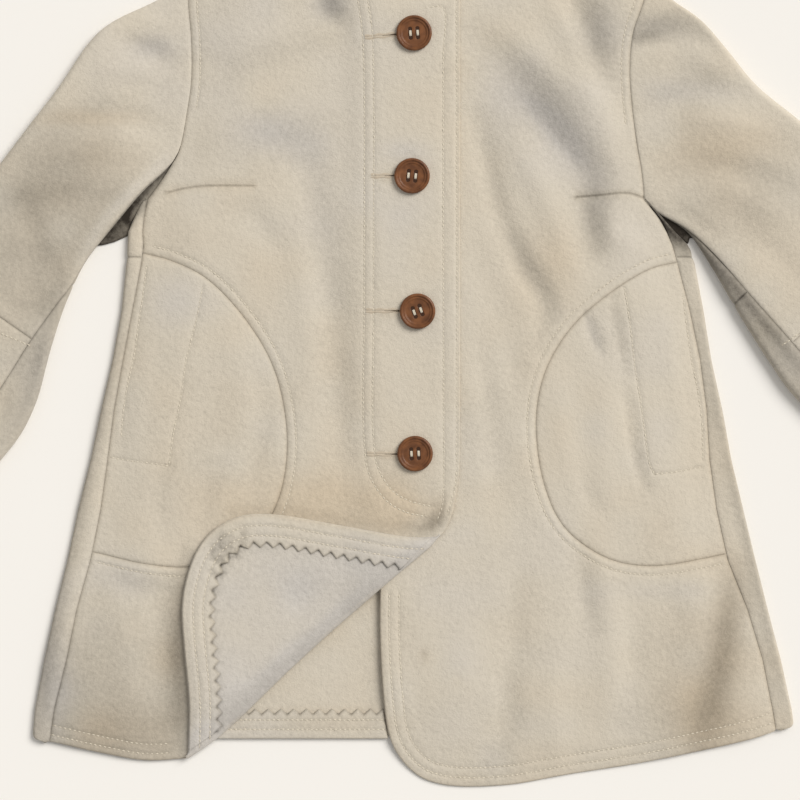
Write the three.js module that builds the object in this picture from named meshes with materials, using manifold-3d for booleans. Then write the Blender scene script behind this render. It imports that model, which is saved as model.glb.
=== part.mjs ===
// A hooded wool coat laid flat on its back, with one front corner turned back.
// The pattern is drawn on a flat grid: x runs to the right, y runs down, one unit is UNIT millimetres.
import * as THREE from 'three';
import ManifoldModule from 'manifold-3d';

const wasm = await ManifoldModule();
wasm.setup();
const { Manifold, CrossSection, Mesh } = wasm;

const UNIT = 0.9;
const CENTRE = 413;
const LEVEL = 400;

const CLOTH = 2.5;
const FACING = 1.4;
const GAP = 0.3;
const HALF_GAP = GAP / 2;
const LAYER = CLOTH + GAP;
const ROLL = CLOTH + HALF_GAP;
const SLEEVE_HEIGHT = 8.6;

const WAIST_SEAM = 257;
const UNDERARM = 199;
const LAP_START = 340;
const LAP_END = 376;
const UNDERLAP_EDGE = 380;
const FRONT_EDGE = 460;
const HEM_DROP_START = 743;
const HEM_DROP_END = 766;
const BACK_HEM_RIGHT = 730;

const COLOURS = {
  cloth: new THREE.Color(0.62, 0.55, 0.45),
  facing: new THREE.Color(0.6, 0.54, 0.45),
  button: new THREE.Color(0.2, 0.07, 0.03),
};

const smooth = (low, high, value) => {
  const t = Math.min(1, Math.max(0, (value - low) / (high - low)));
  return t * t * (3 - 2 * t);
};
const mix = (a, b, t) => a + (b - a) * t;
const toMm = ([x, y]) => [(x - CENTRE) * UNIT, (LEVEL - y) * UNIT];

// Outline of the body at levels down the coat: folded side edges and side seams, left and right as seen.
const BODY_LEVELS = [
  { y: 199, edgeL: 143, seamL: 147.5, seamR: 644.5, edgeR: 649 },
  { y: 217, edgeL: 134, seamL: 143.5, seamR: 659, edgeR: 663 },
  { y: 232, edgeL: 127.5, seamL: 142, seamR: 667, edgeR: 676 },
  { y: 246, edgeL: 127, seamL: 143, seamR: 673, edgeR: 690 },
  { y: 262, edgeL: 126, seamL: 141, seamR: 677.5, edgeR: 695 },
  { y: 310, edgeL: 121, seamL: 132, seamR: 690, edgeR: 704 },
  { y: 360, edgeL: 112, seamL: 122.5, seamR: 700.5, edgeR: 712 },
  { y: 410, edgeL: 100.5, seamL: 113.5, seamR: 707, edgeR: 723 },
  { y: 460, edgeL: 90, seamL: 107, seamR: 710, edgeR: 732 },
  { y: 510, edgeL: 77.5, seamL: 100, seamR: 717, edgeR: 744 },
  { y: 560, edgeL: 67, seamL: 90, seamR: 728, edgeR: 756 },
  { y: 610, edgeL: 54.5, seamL: 76, seamR: 748, edgeR: 768.5 },
  { y: 660, edgeL: 43.5, seamL: 66, seamR: 763, edgeR: 781.5 },
  { y: 710, edgeL: 34, seamL: 53.5, seamR: 773, edgeR: 792.5 },
  { y: 742, edgeL: 31.5, seamL: 49, seamR: 778, edgeR: 797 },
];

// Armhole seams, from the shoulder tip to the underarm.
const ARMHOLE_L = [[190, -20], [188, 0], [191, 40], [191, 80], [187, 110], [179, 150], [171, 165], [160, 182], [147.5, 199]];
const ARMHOLE_R = [[648, -22], [644, 0], [633, 34], [630, 69], [632, 103], [637, 143], [642, 172], [644.5, 199]];

// Seams of the D-shaped side panels, from the top of the pocket round to its foot.
const PANEL_SEAM_L = [[143, 253], [172, 261], [207, 279], [248, 323], [275, 372], [287, 440], [279, 497], [258, 535], [225, 559], [188, 567], [146, 564], [91.5, 552]];
const PANEL_SEAM_R = [[678, 262], [650, 269], [606, 296], [570, 329], [545, 372], [536, 420], [544, 484], [565, 528], [607, 558], [650, 566], [702, 559], [727, 554]];

// The fold of the turned-back corner, from the front edge down to the hem.
const FOLD_LINE = [[449, 519], [439, 540], [379, 590], [299, 661], [224, 730], [188, 759]];
// The turned-back corner past the fold: the front edge, the rounded corner, then the hem.
const FLAP_EDGE = [[445, 509], [440, 525], [425, 534], [405, 536], [340, 525], [272, 514], [240, 516], [213, 530], [197, 550], [186, 580], [182, 607], [184, 645], [189, 702], [188, 752]];

const HEM_RIGHT_FRONT = [[49, 742], [103, 754], [145, 761], [188, 759]];
const HEM_LEFT_FRONT = [[380, 594], [380, 633], [383, 690], [389, 735], [399, 757], [419, 777], [446, 786], [506, 786], [564, 776], [650, 762], [754, 739], [775, 732]];

// Soft folds of the fronts: a ridge or trough along a line, with half its width and its height.
const FRONT_FOLDS = [
  { x0: 505, y0: 60, x1: 585, y1: 165, half: 34, rise: 1.1 },
  { x0: 600, y0: 0, x1: 606, y1: 75, half: 20, rise: -1.0 },
  { x0: 590, y0: 190, x1: 600, y1: 262, half: 26, rise: -1.2 },
  { x0: 490, y0: 150, x1: 545, y1: 320, half: 26, rise: -1.1 },
  { x0: 520, y0: 130, x1: 590, y1: 300, half: 22, rise: 0.9 },
  { x0: 318, y0: 150, x1: 350, y1: 470, half: 40, rise: -1.3 },
  { x0: 255, y0: 120, x1: 285, y1: 260, half: 34, rise: 0.8 },
  { x0: 728, y0: 585, x1: 700, y1: 735, half: 30, rise: -1.4 },
  { x0: 640, y0: 600, x1: 620, y1: 740, half: 40, rise: 0.9 },
  { x0: 578, y0: 587, x1: 566, y1: 740, half: 24, rise: -1.1 },
  { x0: 640, y0: 310, x1: 655, y1: 470, half: 22, rise: -0.9 },
];

// Sleeves in their own frame: down runs along the arm from the shoulder tip, across runs to the underarm side.
const SLEEVE_RIGHT = {
  tip: [190, -20], along: [-0.574, 0.819], across: [0.819, 0.574], armhole: ARMHOLE_L, side: -1,
  hidden: 14, slant: 1.75,
  elbowUpper: 385, elbowUnder: 317, cuff: 667,
  sections: [
    { down: -40, outer: 2, seam: 92, lower: 92 },
    { down: 0, outer: 0, seam: 92, lower: 92 },
    { down: 36, outer: -16, seam: 92, lower: 92 },
    { down: 80, outer: -42, seam: 92, lower: 92 },
    { down: 107, outer: -48, seam: 92, lower: 92 },
    { down: 165, outer: -46, seam: 91, lower: 91 },
    { down: 200, outer: -48, seam: 81, lower: 82 },
    { down: 250, outer: -50, seam: 78, lower: 78.5 },
    { down: 290, outer: -51, seam: 75.5, lower: 75.5 },
    { down: 312, outer: -51, seam: 78, lower: 79 },
    { down: 330, outer: -50.5, seam: 77.5, lower: 82 },
    { down: 347, outer: -50, seam: 77, lower: 86 },
    { down: 390, outer: -49, seam: 76.5, lower: 100 },
    { down: 430, outer: -48, seam: 79, lower: 116 },
    { down: 469, outer: -47, seam: 80, lower: 123 },
    { down: 520, outer: -46, seam: 79, lower: 119 },
    { down: 600, outer: -45, seam: 77, lower: 104 },
    { down: 667, outer: -44, seam: 75, lower: 94 },
  ],
};
const SLEEVE_LEFT = {
  tip: [648, -22], along: [0.682, 0.731], across: [-0.731, 0.682], armhole: ARMHOLE_R, side: 1,
  hidden: 24, slant: 1.2,
  elbowUpper: 365, elbowUnder: 297, cuff: 660,
  sections: [
    { down: -40, outer: 2, seam: 156, lower: 156 },
    { down: 0, outer: 0, seam: 156, lower: 156 },
    { down: 33, outer: -3.3, seam: 156, lower: 156 },
    { down: 66, outer: -12, seam: 156, lower: 156 },
    { down: 107, outer: -9.5, seam: 156, lower: 156 },
    { down: 150, outer: -5.5, seam: 156, lower: 156 },
    { down: 183, outer: -10, seam: 153.5, lower: 154 },
    { down: 206, outer: -14, seam: 143, lower: 143 },
    { down: 219, outer: -15, seam: 141, lower: 143.5 },
    { down: 261, outer: -16, seam: 140, lower: 151.5 },
    { down: 300, outer: -17, seam: 142, lower: 161 },
    { down: 350, outer: -17, seam: 143, lower: 171 },
    { down: 400, outer: -16, seam: 145, lower: 179 },
    { down: 450, outer: -14, seam: 144, lower: 176 },
    { down: 540, outer: -8, seam: 139, lower: 160 },
    { down: 660, outer: 0, seam: 132, lower: 146 },
  ],
};

// One hood half, outwards from the centre line: its centre seam, folded side edge and face edge.
const HOOD_SECTIONS = [
  { seamY: -79.5, edgeX: 84, edgeY: -76.5, faceX: 33, faceY: -13 },
  { seamY: -110, edgeX: 100, edgeY: -105, faceX: 40, faceY: -60 },
  { seamY: -140, edgeX: 118, edgeY: -145, faceX: 47, faceY: -110 },
  { seamY: -175, edgeX: 134, edgeY: -200, faceX: 52, faceY: -165 },
  { seamY: -210, edgeX: 142, edgeY: -260, faceX: 54, faceY: -220 },
  { seamY: -245, edgeX: 138, edgeY: -320, faceX: 52, faceY: -272 },
  { seamY: -275, edgeX: 118, edgeY: -375, faceX: 45, faceY: -320 },
  { seamY: -300, edgeX: 86, edgeY: -415, faceX: 34, faceY: -358 },
  { seamY: -322, edgeX: 46, edgeY: -438, faceX: 20, faceY: -385 },
  { seamY: -340, edgeX: 0.2, edgeY: -446, faceX: 0.2, faceY: -398 },
];

const NECK_R = [[331, -75], [380, -12], [400, -3], [FRONT_EDGE, -2]];
const NECK_L = [[495, -75], [446, -12], [426, -4], [UNDERLAP_EDGE, -3]];

const BUTTONS = [
  { x: 414, y: 34, turn: 0 },
  { x: 412, y: 176.5, turn: 0 },
  { x: 417.5, y: 311.5, turn: 20 },
  { x: 415, y: 453.5, turn: 0 },
];
const BUTTON_RADIUS = 16;
const BUTTON_HOLE_RADIUS = 1.35;
const BUTTON_HOLE_OFFSET = 2.9;
const BUTTONHOLE = { start: 366, width: 1 };

// A value from a table of rows, read at a position in the first column.
function read(rows, key, at, column) {
  let k = 0;
  while (k < rows.length - 2 && rows[k + 1][key] < at) k += 1;
  const t = Math.min(1, Math.max(0, (at - rows[k][key]) / (rows[k + 1][key] - rows[k][key])));
  return mix(rows[k][column], rows[k + 1][column], t);
}

const body = (y, column) => read(BODY_LEVELS, 'y', y, column);

// A smooth curve through the points of a line.
function curve(points, step = 16) {
  const path = new THREE.CatmullRomCurve3(points.map(([x, y]) => new THREE.Vector3(x, y, 0)), false, 'centripetal');
  const count = Math.max(points.length, Math.round(path.getLength() / step));
  return path.getSpacedPoints(count).map((p) => [p.x, p.y]);
}

// The levels of the body table between two heights, both ends included.
function levels(from, to) {
  const low = Math.min(from, to);
  const high = Math.max(from, to);
  const inner = BODY_LEVELS.map((row) => row.y).filter((y) => y > low + 1 && y < high - 1);
  const list = [low, ...inner, high];
  return from > to ? list.reverse() : list;
}

const sideSeam = (column, from, to) => levels(from, to).map((y) => [body(y, column), y]);

// The region inside an outline, in millimetres, pulled in by half a seam gap.
function region(points, inset = HALF_GAP) {
  const outline = points.map(toMm);
  const turned = outline.reduce((sum, [x, y], k) => {
    const [nx, ny] = outline[(k + 1) % outline.length];
    return sum + x * ny - nx * y;
  }, 0) < 0 ? outline.reverse() : outline;
  const flat = new CrossSection([turned], 'NonZero');
  return inset === 0 ? flat : flat.offset(-inset, 'Miter', 2);
}

function distanceToLine(x, y, { x0, y0, x1, y1 }) {
  const length = (x1 - x0) ** 2 + (y1 - y0) ** 2;
  const t = Math.min(1, Math.max(0, ((x - x0) * (x1 - x0) + (y - y0) * (y1 - y0)) / length));
  return Math.hypot(x - mix(x0, x1, t), y - mix(y0, y1, t));
}

// How far the fronts stand off the back: fullness with its soft folds, none at the seams.
function swell(x, y) {
  const puff = FRONT_FOLDS.reduce((sum, fold) => {
    const reach = distanceToLine(x, y, fold) / fold.half;
    return sum + fold.rise * Math.exp(-reach * reach);
  }, 1.9);
  const sides = smooth(0, 70, x - body(y, 'seamL')) * smooth(0, 70, body(y, 'seamR') - x);
  const ends = smooth(-60, 30, y) * smooth(0, 60, 742 - y);
  return Math.min(3.3, Math.max(0, puff)) * sides * ends;
}

const lapRise = (x) => LAYER * mix(0, 1, Math.min(1, Math.max(0, (x - LAP_START) / (LAP_END - LAP_START))));
const restLevel = (y) => LAYER * (1 - Math.min(1, Math.max(0, (y - HEM_DROP_START) / (HEM_DROP_END - HEM_DROP_START))));
const underLeft = (x, y) => restLevel(y) + swell(x, y);
const underRight = (x, y) => underLeft(x, y) + lapRise(x);
const underFlap = (x, y) => underRight(x, y) + LAYER;
const underFacing = (x, y) => underFlap(x, y) + LAYER;

function gridLines(stops, step) {
  const lines = [stops[0]];
  for (let k = 1; k < stops.length; k += 1) {
    const count = Math.ceil((stops[k] - stops[k - 1]) / step);
    for (let j = 1; j <= count; j += 1) lines.push(mix(stops[k - 1], stops[k], j / count));
  }
  return lines;
}

// Every lifted sheet is drawn over these lines, so stacked sheets keep their gap.
const LINES_X = gridLines([20, 188, LAP_START, 358, LAP_END, FRONT_EDGE, 800], 30);
const LINES_Y = gridLines([-90, 0, HEM_DROP_START, HEM_DROP_END, 800], 30);

// A closed wall between an outer and an inner grid of points.
function wall(rows, columns, pair) {
  const points = [];
  for (let i = 0; i < rows; i += 1) {
    for (let j = 0; j < columns; j += 1) points.push(pair(i, j));
  }
  const vertices = new Float32Array(points.length * 6);
  points.forEach(([outer, inner], k) => {
    vertices.set(outer, k * 3);
    vertices.set(inner, (points.length + k) * 3);
  });
  const far = points.length;
  const at = (i, j) => i * columns + j;
  const faces = [];
  const quad = (a, b, c, d) => faces.push(a, b, c, a, c, d);
  for (let i = 0; i < rows - 1; i += 1) {
    for (let j = 0; j < columns - 1; j += 1) {
      quad(at(i, j), at(i + 1, j), at(i + 1, j + 1), at(i, j + 1));
      quad(far + at(i, j), far + at(i, j + 1), far + at(i + 1, j + 1), far + at(i + 1, j));
    }
  }
  for (let i = 0; i < rows - 1; i += 1) {
    quad(at(i, 0), far + at(i, 0), far + at(i + 1, 0), at(i + 1, 0));
    const last = columns - 1;
    quad(at(i, last), at(i + 1, last), far + at(i + 1, last), far + at(i, last));
  }
  for (let j = 0; j < columns - 1; j += 1) {
    quad(at(0, j), at(0, j + 1), far + at(0, j + 1), far + at(0, j));
    const last = rows - 1;
    quad(at(last, j), far + at(last, j), far + at(last, j + 1), at(last, j + 1));
  }
  const build = (list) => new Manifold(new Mesh({
    numProp: 3, vertProperties: vertices, triVerts: new Uint32Array(list),
  }));
  const solid = build(faces);
  if (solid.volume() > 0) return solid;
  const turned = [];
  for (let k = 0; k < faces.length; k += 3) turned.push(faces[k], faces[k + 2], faces[k + 1]);
  return build(turned);
}

// A sheet of cloth over the pattern lines, lifted by a height function and cut to an outline.
function sheet(flat, under, thick = CLOTH) {
  const slab = wall(LINES_Y.length, LINES_X.length, (i, j) => {
    const [x, y] = toMm([LINES_X[j], LINES_Y[i]]);
    const z = under(LINES_X[j], LINES_Y[i]);
    return [[x, y, z + thick], [x, y, z]];
  });
  return slab.intersect(flat.extrude(60).translate([0, 0, -10]));
}

// The back: flat where it rests, rolled up at both sides and over to the side seams.
function backStretch(fromY, toY, hemmed) {
  const stations = levels(fromY, toY);
  const rows = stations.length;
  const arc = 4;
  const steps = [];
  for (let k = 0; k <= arc; k += 1) steps.push({ side: 'L', angle: Math.PI / 2 - (Math.PI * k) / arc });
  for (let k = 0; k <= arc; k += 1) steps.push({ side: 'R', angle: -Math.PI / 2 + (Math.PI * k) / arc });
  const columns = steps.length + 2;
  return wall(rows, columns, (i, j) => {
    const onRight = j > columns / 2;
    const y = hemmed && onRight ? Math.min(stations[i], BACK_HEM_RIGHT) : stations[i];
    const place = (x, zOuter, zInner, shift = 0, lean = 0) => {
      const [mx, my] = toMm([x, y]);
      return [[mx + shift, my, zOuter], [mx + shift - lean, my, zInner]];
    };
    if (j === 0) return place(body(y, 'seamL'), LAYER + CLOTH, LAYER, -HALF_GAP);
    if (j === columns - 1) return place(body(y, 'seamR'), LAYER + CLOTH, LAYER, HALF_GAP);
    const { side, angle } = steps[j - 1];
    const sign = side === 'L' ? -1 : 1;
    const edge = side === 'L' ? body(y, 'edgeL') : body(y, 'edgeR');
    const out = Math.cos(angle);
    const up = Math.sin(angle);
    const reach = sign * ROLL * (out - 1);
    const lean = sign * CLOTH * out;
    return place(edge, ROLL + ROLL * up, ROLL + HALF_GAP * up, reach, lean);
  });
}

function makeBack() {
  const yoke = [
    ...curve(ARMHOLE_L).slice(0, -1), [149, 204], [149, 212], [640, 212], [643, 204],
    ...curve(ARMHOLE_R).reverse().slice(1), [495, -75], [CENTRE, -79], [331, -75],
  ];
  const upper = backStretch(UNDERARM, WAIST_SEAM - HALF_GAP / UNIT, false)
    .add(region(yoke).extrude(CLOTH));
  const lower = backStretch(WAIST_SEAM + HALF_GAP / UNIT, 742, true);
  return { upper, lower };
}

const foldShift = ([x, y]) => [x - 0.662 * (ROLL / UNIT), y - 0.75 * (ROLL / UNIT)];

// The roll of cloth that joins the front to its turned-back corner.
function makeFold() {
  const line = curve(FOLD_LINE, 26);
  const axis = line.map(foldShift);
  const arc = 6;
  const skim = 0.08;
  return wall(line.length, arc + 3, (i, j) => {
    const [x, y] = toMm(axis[i]);
    const outwards = [0.662, -0.75];
    const centre = underRight(axis[i][0], axis[i][1]) + ROLL;
    const leg = j === 0 || j === arc + 2;
    const turn = -Math.PI / 2 + (Math.PI * Math.min(arc, Math.max(0, j - 1))) / arc;
    const back = leg ? -1.6 : 0;
    const point = (radius) => {
      const reach = back + radius * Math.cos(turn);
      return [x + outwards[0] * reach, y + outwards[1] * reach, centre + radius * Math.sin(turn)];
    };
    return [point(ROLL - skim), point(HALF_GAP + skim)];
  });
}

function makeFronts() {
  const panelL = [...curve(PANEL_SEAM_L).slice(1, -1), ...sideSeam('seamL', 552, 253)];
  const panelR = [...curve(PANEL_SEAM_R).slice(1, -1), ...sideSeam('seamR', 554, 262)];
  const fold = curve(FOLD_LINE, 26).map(foldShift);
  const mainRight = [
    ...curve(ARMHOLE_L), ...sideSeam('seamL', UNDERARM, 742).slice(1), ...curve(HEM_RIGHT_FRONT).slice(1, -1),
    ...[...fold].reverse(), [455, 508], [459, 490], ...curve(NECK_R).reverse(),
  ];
  const mainLeft = [
    ...curve(ARMHOLE_R), ...sideSeam('seamR', UNDERARM, BACK_HEM_RIGHT).slice(1), ...curve(HEM_LEFT_FRONT).reverse(),
    ...curve(NECK_L).reverse(),
  ];
  const flap = [...fold, ...curve(FLAP_EDGE, 12).reverse()];
  const rightBody = region(mainRight).subtract(region(panelL, -HALF_GAP));
  const slits = BUTTONS.map(({ x, y }) => {
    const [sx, sy] = toMm([BUTTONHOLE.start, y]);
    const length = (x + 4 - BUTTONHOLE.start) * UNIT;
    return Manifold.cube([length, BUTTONHOLE.width, 30]).translate([sx, sy - BUTTONHOLE.width / 2, 0]);
  });
  const right = Manifold.union([sheet(rightBody, underRight), makeFold(), sheet(region(flap), underFlap)])
    .subtract(Manifold.union(slits));
  const left = sheet(region(mainLeft).subtract(region(panelR, -HALF_GAP)), underLeft);
  return {
    right, left,
    panelRight: sheet(region(panelL), underRight),
    panelLeft: sheet(region(panelR), underLeft),
    facing: makeFlapFacing(fold),
  };
}

// Teeth of a pinked edge along a line of points in millimetres.
function pinked(points, depth) {
  return points.map(([x, y], k) => {
    const [ax, ay] = points[Math.max(0, k - 1)];
    const [bx, by] = points[Math.min(points.length - 1, k + 1)];
    const length = Math.hypot(bx - ax, by - ay) || 1;
    const out = k % 2 === 0 ? depth / 2 : -depth / 2;
    return [x - ((by - ay) / length) * out, y + ((bx - ax) / length) * out];
  });
}

const FACING_WIDTH = 28;
const TOOTH = { pitch: 12.5, depth: 4.5 };

function makeFlapFacing(fold) {
  const edge = curve(FLAP_EDGE, 12);
  const whole = region([...fold, ...[...edge].reverse()], 0.8);
  const inside = region([...edge, [188, 900], [700, 900], [700, 509]], FACING_WIDTH);
  const [loop] = inside.toPolygons();
  const path = new THREE.CatmullRomCurve3(loop.map(([x, y]) => new THREE.Vector3(x, y, 0)), true, 'centripetal');
  const count = 2 * Math.round(path.getLength() / TOOTH.pitch);
  const teeth = pinked(path.getSpacedPoints(count).slice(0, -1).map((p) => [p.x, p.y]), TOOTH.depth);
  return sheet(whole.subtract(new CrossSection([teeth], 'NonZero')), underFacing, FACING);
}

function makeHemFacing() {
  const top = [];
  const from = 262;
  const to = 377;
  const pitch = TOOTH.pitch / UNIT;
  for (let k = 0; from + (k * pitch) / 2 <= to; k += 1) top.push([from + (k * pitch) / 2, k % 2 === 0 ? 714 : 709]);
  const outline = [...top, [to, 711], [to + 3, 736.5], [234, 736.5]];
  return region(outline, GAP).extrude(FACING).translate([0, 0, LAYER]);
}

// A point on the flattened tube of a sleeve, counted round from the hidden seam on its underside.
function sleeveRound(turn, hidden, outer, lower, height) {
  const radius = height / 2 / UNIT;
  const first = outer + radius;
  const last = lower - radius;
  if (turn <= 1) return { across: mix(hidden, first, turn), z: 0, nx: 0, nz: -1 };
  if (turn <= 5) {
    const angle = -Math.PI / 2 - (Math.PI * (turn - 1)) / 4;
    return { across: first + radius * Math.cos(angle), z: height / 2 * (1 + Math.sin(angle)), nx: Math.cos(angle), nz: Math.sin(angle) };
  }
  if (turn <= 9) return { across: mix(first, last, (turn - 5) / 4), z: height, nx: 0, nz: 1 };
  if (turn <= 13) {
    const angle = Math.PI / 2 - (Math.PI * (turn - 9)) / 4;
    return { across: last + radius * Math.cos(angle), z: height / 2 * (1 + Math.sin(angle)), nx: Math.cos(angle), nz: Math.sin(angle) };
  }
  return { across: mix(last, hidden, (turn - 13) / 4), z: 0, nx: 0, nz: -1 };
}

function armholeX(rows, y) {
  let k = 0;
  while (k < rows.length - 2 && rows[k + 1][1] < y) k += 1;
  const t = (y - rows[k][1]) / (rows[k + 1][1] - rows[k][1]);
  return mix(rows[k][0], rows[k + 1][0], Math.min(1.4, Math.max(-1.4, t)));
}

// One piece of a sleeve between two ends along the arm, on the upper or the under side of its seams.
function sleevePiece(sleeve, isUpper, isTop) {
  const elbow = isUpper ? sleeve.elbowUpper : sleeve.elbowUnder;
  const columns = isUpper ? 13 : 10;
  const seamGap = HALF_GAP / UNIT;
  const stations = [...sleeve.sections.map((row) => row.down), sleeve.elbowUpper, sleeve.elbowUnder].sort((a, b) => a - b);
  const kept = isTop ? stations.filter((down) => down < elbow - 4) : stations.filter((down) => down > elbow + 4);
  const rows = isTop ? [...kept, elbow - seamGap] : [elbow + seamGap, ...kept];
  const place = (down, across) => [
    sleeve.tip[0] + sleeve.along[0] * down + sleeve.across[0] * across,
    sleeve.tip[1] + sleeve.along[1] * down + sleeve.across[1] * across,
  ];
  const at = (down, part) => {
    const outer = read(sleeve.sections, 'down', down, 'outer');
    const seam = read(sleeve.sections, 'down', down, 'seam');
    const lower = read(sleeve.sections, 'down', down, 'lower');
    const across = isUpper ? mix(outer, seam, Math.abs(part - 0.2) / 0.8) : lower;
    const height = mix(2 * ROLL, SLEEVE_HEIGHT, smooth(0, 90, down - sleeve.slant * Math.max(0, across)));
    const radius = height / 2 / UNIT;
    const flat = lower - outer - 2 * radius;
    const onTop = seam < lower - radius;
    const seamTurn = onTop ? 5 + (4 * (seam - outer - radius)) / flat : 9 + (2 * Math.min(radius, seam - lower + radius)) / radius;
    const step = onTop ? (4 * seamGap) / flat : 0.12;
    const first = seamGap / (sleeve.hidden - outer - radius);
    const last = 17 - (4 * seamGap) / (lower - radius - sleeve.hidden);
    const turn = isUpper ? mix(first, seamTurn - step, part) : mix(seamTurn + step, last, part);
    return sleeveRound(turn, sleeve.hidden, outer, lower, height);
  };
  const startOf = (part) => {
    let low = -40;
    let high = 300;
    for (let k = 0; k < 40; k += 1) {
      const down = (low + high) / 2;
      const [x, y] = place(down, at(down, part).across);
      const past = y > UNDERARM || sleeve.side * (x - armholeX(sleeve.armhole, y)) > -1.5;
      if (past) high = down; else low = down;
    }
    return high;
  };
  const starts = Array.from({ length: columns }, (_, j) => startOf(j / (columns - 1)));
  return wall(rows.length, columns, (i, j) => {
    const part = j / (columns - 1);
    const down = isTop ? Math.max(rows[i], starts[j] + i) : rows[i];
    const { across, z, nx, nz } = at(down, part);
    const outer = toMm(place(down, across));
    const inner = toMm(place(down, across - (nx * CLOTH) / UNIT));
    return [[...outer, z], [...inner, z - nz * CLOTH]];
  });
}

// The cloth sunk in the shadow under each arm, between the sleeve and the body.
const UNDERARM_WEBS = {
  right: [[150, 188], [135, 196], [123, 213], [101, 243], [114, 240], [127, 234], [134, 217], [147, 199]],
  left: [[646, 196], [660, 213], [678, 219], [688, 226], [694, 244], [684, 250], [668, 240], [655, 217]],
};

// The space of the body, from which the sleeves are cut back.
function bodySpace() {
  const rows = BODY_LEVELS.map(({ y, edgeL, edgeR }) => ({ left: [edgeL, y], right: [edgeR, y] }));
  const outline = [
    ...curve(ARMHOLE_L), ...rows.map((row) => row.left), ...rows.reverse().map((row) => row.right),
    ...curve(ARMHOLE_R).reverse(), [495, -75], [CENTRE, -79], [331, -75],
  ];
  return region(outline, -HALF_GAP).extrude(60).translate([0, 0, -10]);
}

// The main body of a cut piece, without offcuts.
function largest(solid) {
  return solid.decompose().reduce((best, piece) => (piece.volume() > best.volume() ? piece : best));
}

function makeSleeve(sleeve, web, space) {
  const webbed = sleevePiece(sleeve, false, true).add(region(web, 0).extrude(CLOTH));
  return {
    upperTop: largest(sleevePiece(sleeve, true, true).subtract(space)),
    upperCuff: sleevePiece(sleeve, true, false),
    underTop: largest(webbed.subtract(space)),
    underCuff: sleevePiece(sleeve, false, false),
  };
}

// One hood half: its back lies down, rolls over at the side and comes forward to the face edge.
function makeHood(side) {
  const edge = new THREE.CatmullRomCurve3(HOOD_SECTIONS.map((r) => new THREE.Vector3(r.edgeX, r.edgeY, 0)));
  const rows = 19;
  const arc = 4;
  const columns = arc + 5;
  const sample = (key, t) => {
    const path = new THREE.CatmullRomCurve3(HOOD_SECTIONS.map((r, k) => new THREE.Vector3(k, r[key], 0)));
    return path.getPoint(t).y;
  };
  return wall(rows, columns, (i, j) => {
    const t = i / (rows - 1);
    const tangent = edge.getTangent(t);
    const normal = i === rows - 1 ? [0, -1] : [-tangent.y, tangent.x];
    const rim = [Math.max(0.2, sample('edgeX', t)), sample('edgeY', t)];
    const centre = [Math.max(0.2, rim[0] - (normal[0] * ROLL) / UNIT), rim[1] - (normal[1] * ROLL) / UNIT];
    const seam = [0.2, sample('seamY', t)];
    const face = [Math.max(0.2, sample('faceX', t)), sample('faceY', t)];
    const put = ([x, y], z) => [...toMm([CENTRE + side * x, y]), z];
    if (j < 2) {
      const p = [mix(seam[0], centre[0], j / 2), mix(seam[1], centre[1], j / 2)];
      return [put(p, 0), put(p, CLOTH)];
    }
    if (j > columns - 3) {
      const p = [mix(centre[0], face[0], (j - columns + 3) / 2), mix(centre[1], face[1], (j - columns + 3) / 2)];
      return [put(p, LAYER + CLOTH), put(p, LAYER)];
    }
    const angle = -Math.PI / 2 + (Math.PI * (j - 2)) / arc;
    const ring = (radius) => {
      const reach = (radius * Math.cos(angle)) / UNIT;
      return put([centre[0] + normal[0] * reach, centre[1] + normal[1] * reach], ROLL + radius * Math.sin(angle));
    };
    return [ring(ROLL), ring(HALF_GAP)];
  });
}

function makeButton({ x, y, turn }) {
  const profile = [[0, 0], [13.6, 0], [15.4, 0.8], [BUTTON_RADIUS, 2.2], [15.6, 3.6], [14.6, 4.2], [13.2, 4.1], [12.6, 3.1], [12.1, 2.9], [0, 2.7]];
  const disc = Manifold.revolve(new CrossSection([profile], 'NonZero'), 28);
  const holes = [45, 135, 225, 315].map((angle) => {
    const a = (angle * Math.PI) / 180;
    return Manifold.cylinder(12, BUTTON_HOLE_RADIUS, BUTTON_HOLE_RADIUS, 8, true)
      .translate([BUTTON_HOLE_OFFSET * Math.cos(a), BUTTON_HOLE_OFFSET * Math.sin(a), 2]);
  });
  let top = 0;
  for (let k = 0; k < 24; k += 1) {
    const a = (k * Math.PI) / 12;
    for (const reach of [0, 9, 18]) top = Math.max(top, underRight(x + reach * Math.cos(a), y + reach * Math.sin(a)));
  }
  const [mx, my] = toMm([x, y]);
  return disc.subtract(Manifold.union(holes)).rotate([0, 0, turn]).translate([mx, my, top + CLOTH + GAP]);
}

function toMesh(name, solid, material) {
  const { numProp, vertProperties, triVerts } = solid.getMesh();
  const positions = new Float32Array(triVerts.length * 3);
  for (let k = 0; k < triVerts.length; k += 1) {
    for (let axis = 0; axis < 3; axis += 1) positions[k * 3 + axis] = vertProperties[triVerts[k] * numProp + axis];
  }
  const geometry = new THREE.BufferGeometry();
  geometry.setAttribute('position', new THREE.BufferAttribute(positions, 3));
  geometry.computeVertexNormals();
  const mesh = new THREE.Mesh(geometry, material);
  mesh.name = name;
  return mesh;
}

const back = makeBack();
const fronts = makeFronts();
const space = bodySpace();
const sleeveRight = makeSleeve(SLEEVE_RIGHT, UNDERARM_WEBS.right, space);
const sleeveLeft = makeSleeve(SLEEVE_LEFT, UNDERARM_WEBS.left, space);

const cloth = new THREE.MeshStandardMaterial({ color: COLOURS.cloth, roughness: 0.95, metalness: 0 });
const facing = new THREE.MeshStandardMaterial({ color: COLOURS.facing, roughness: 0.95, metalness: 0 });
const plastic = new THREE.MeshStandardMaterial({ color: COLOURS.button, roughness: 0.4, metalness: 0 });

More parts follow.
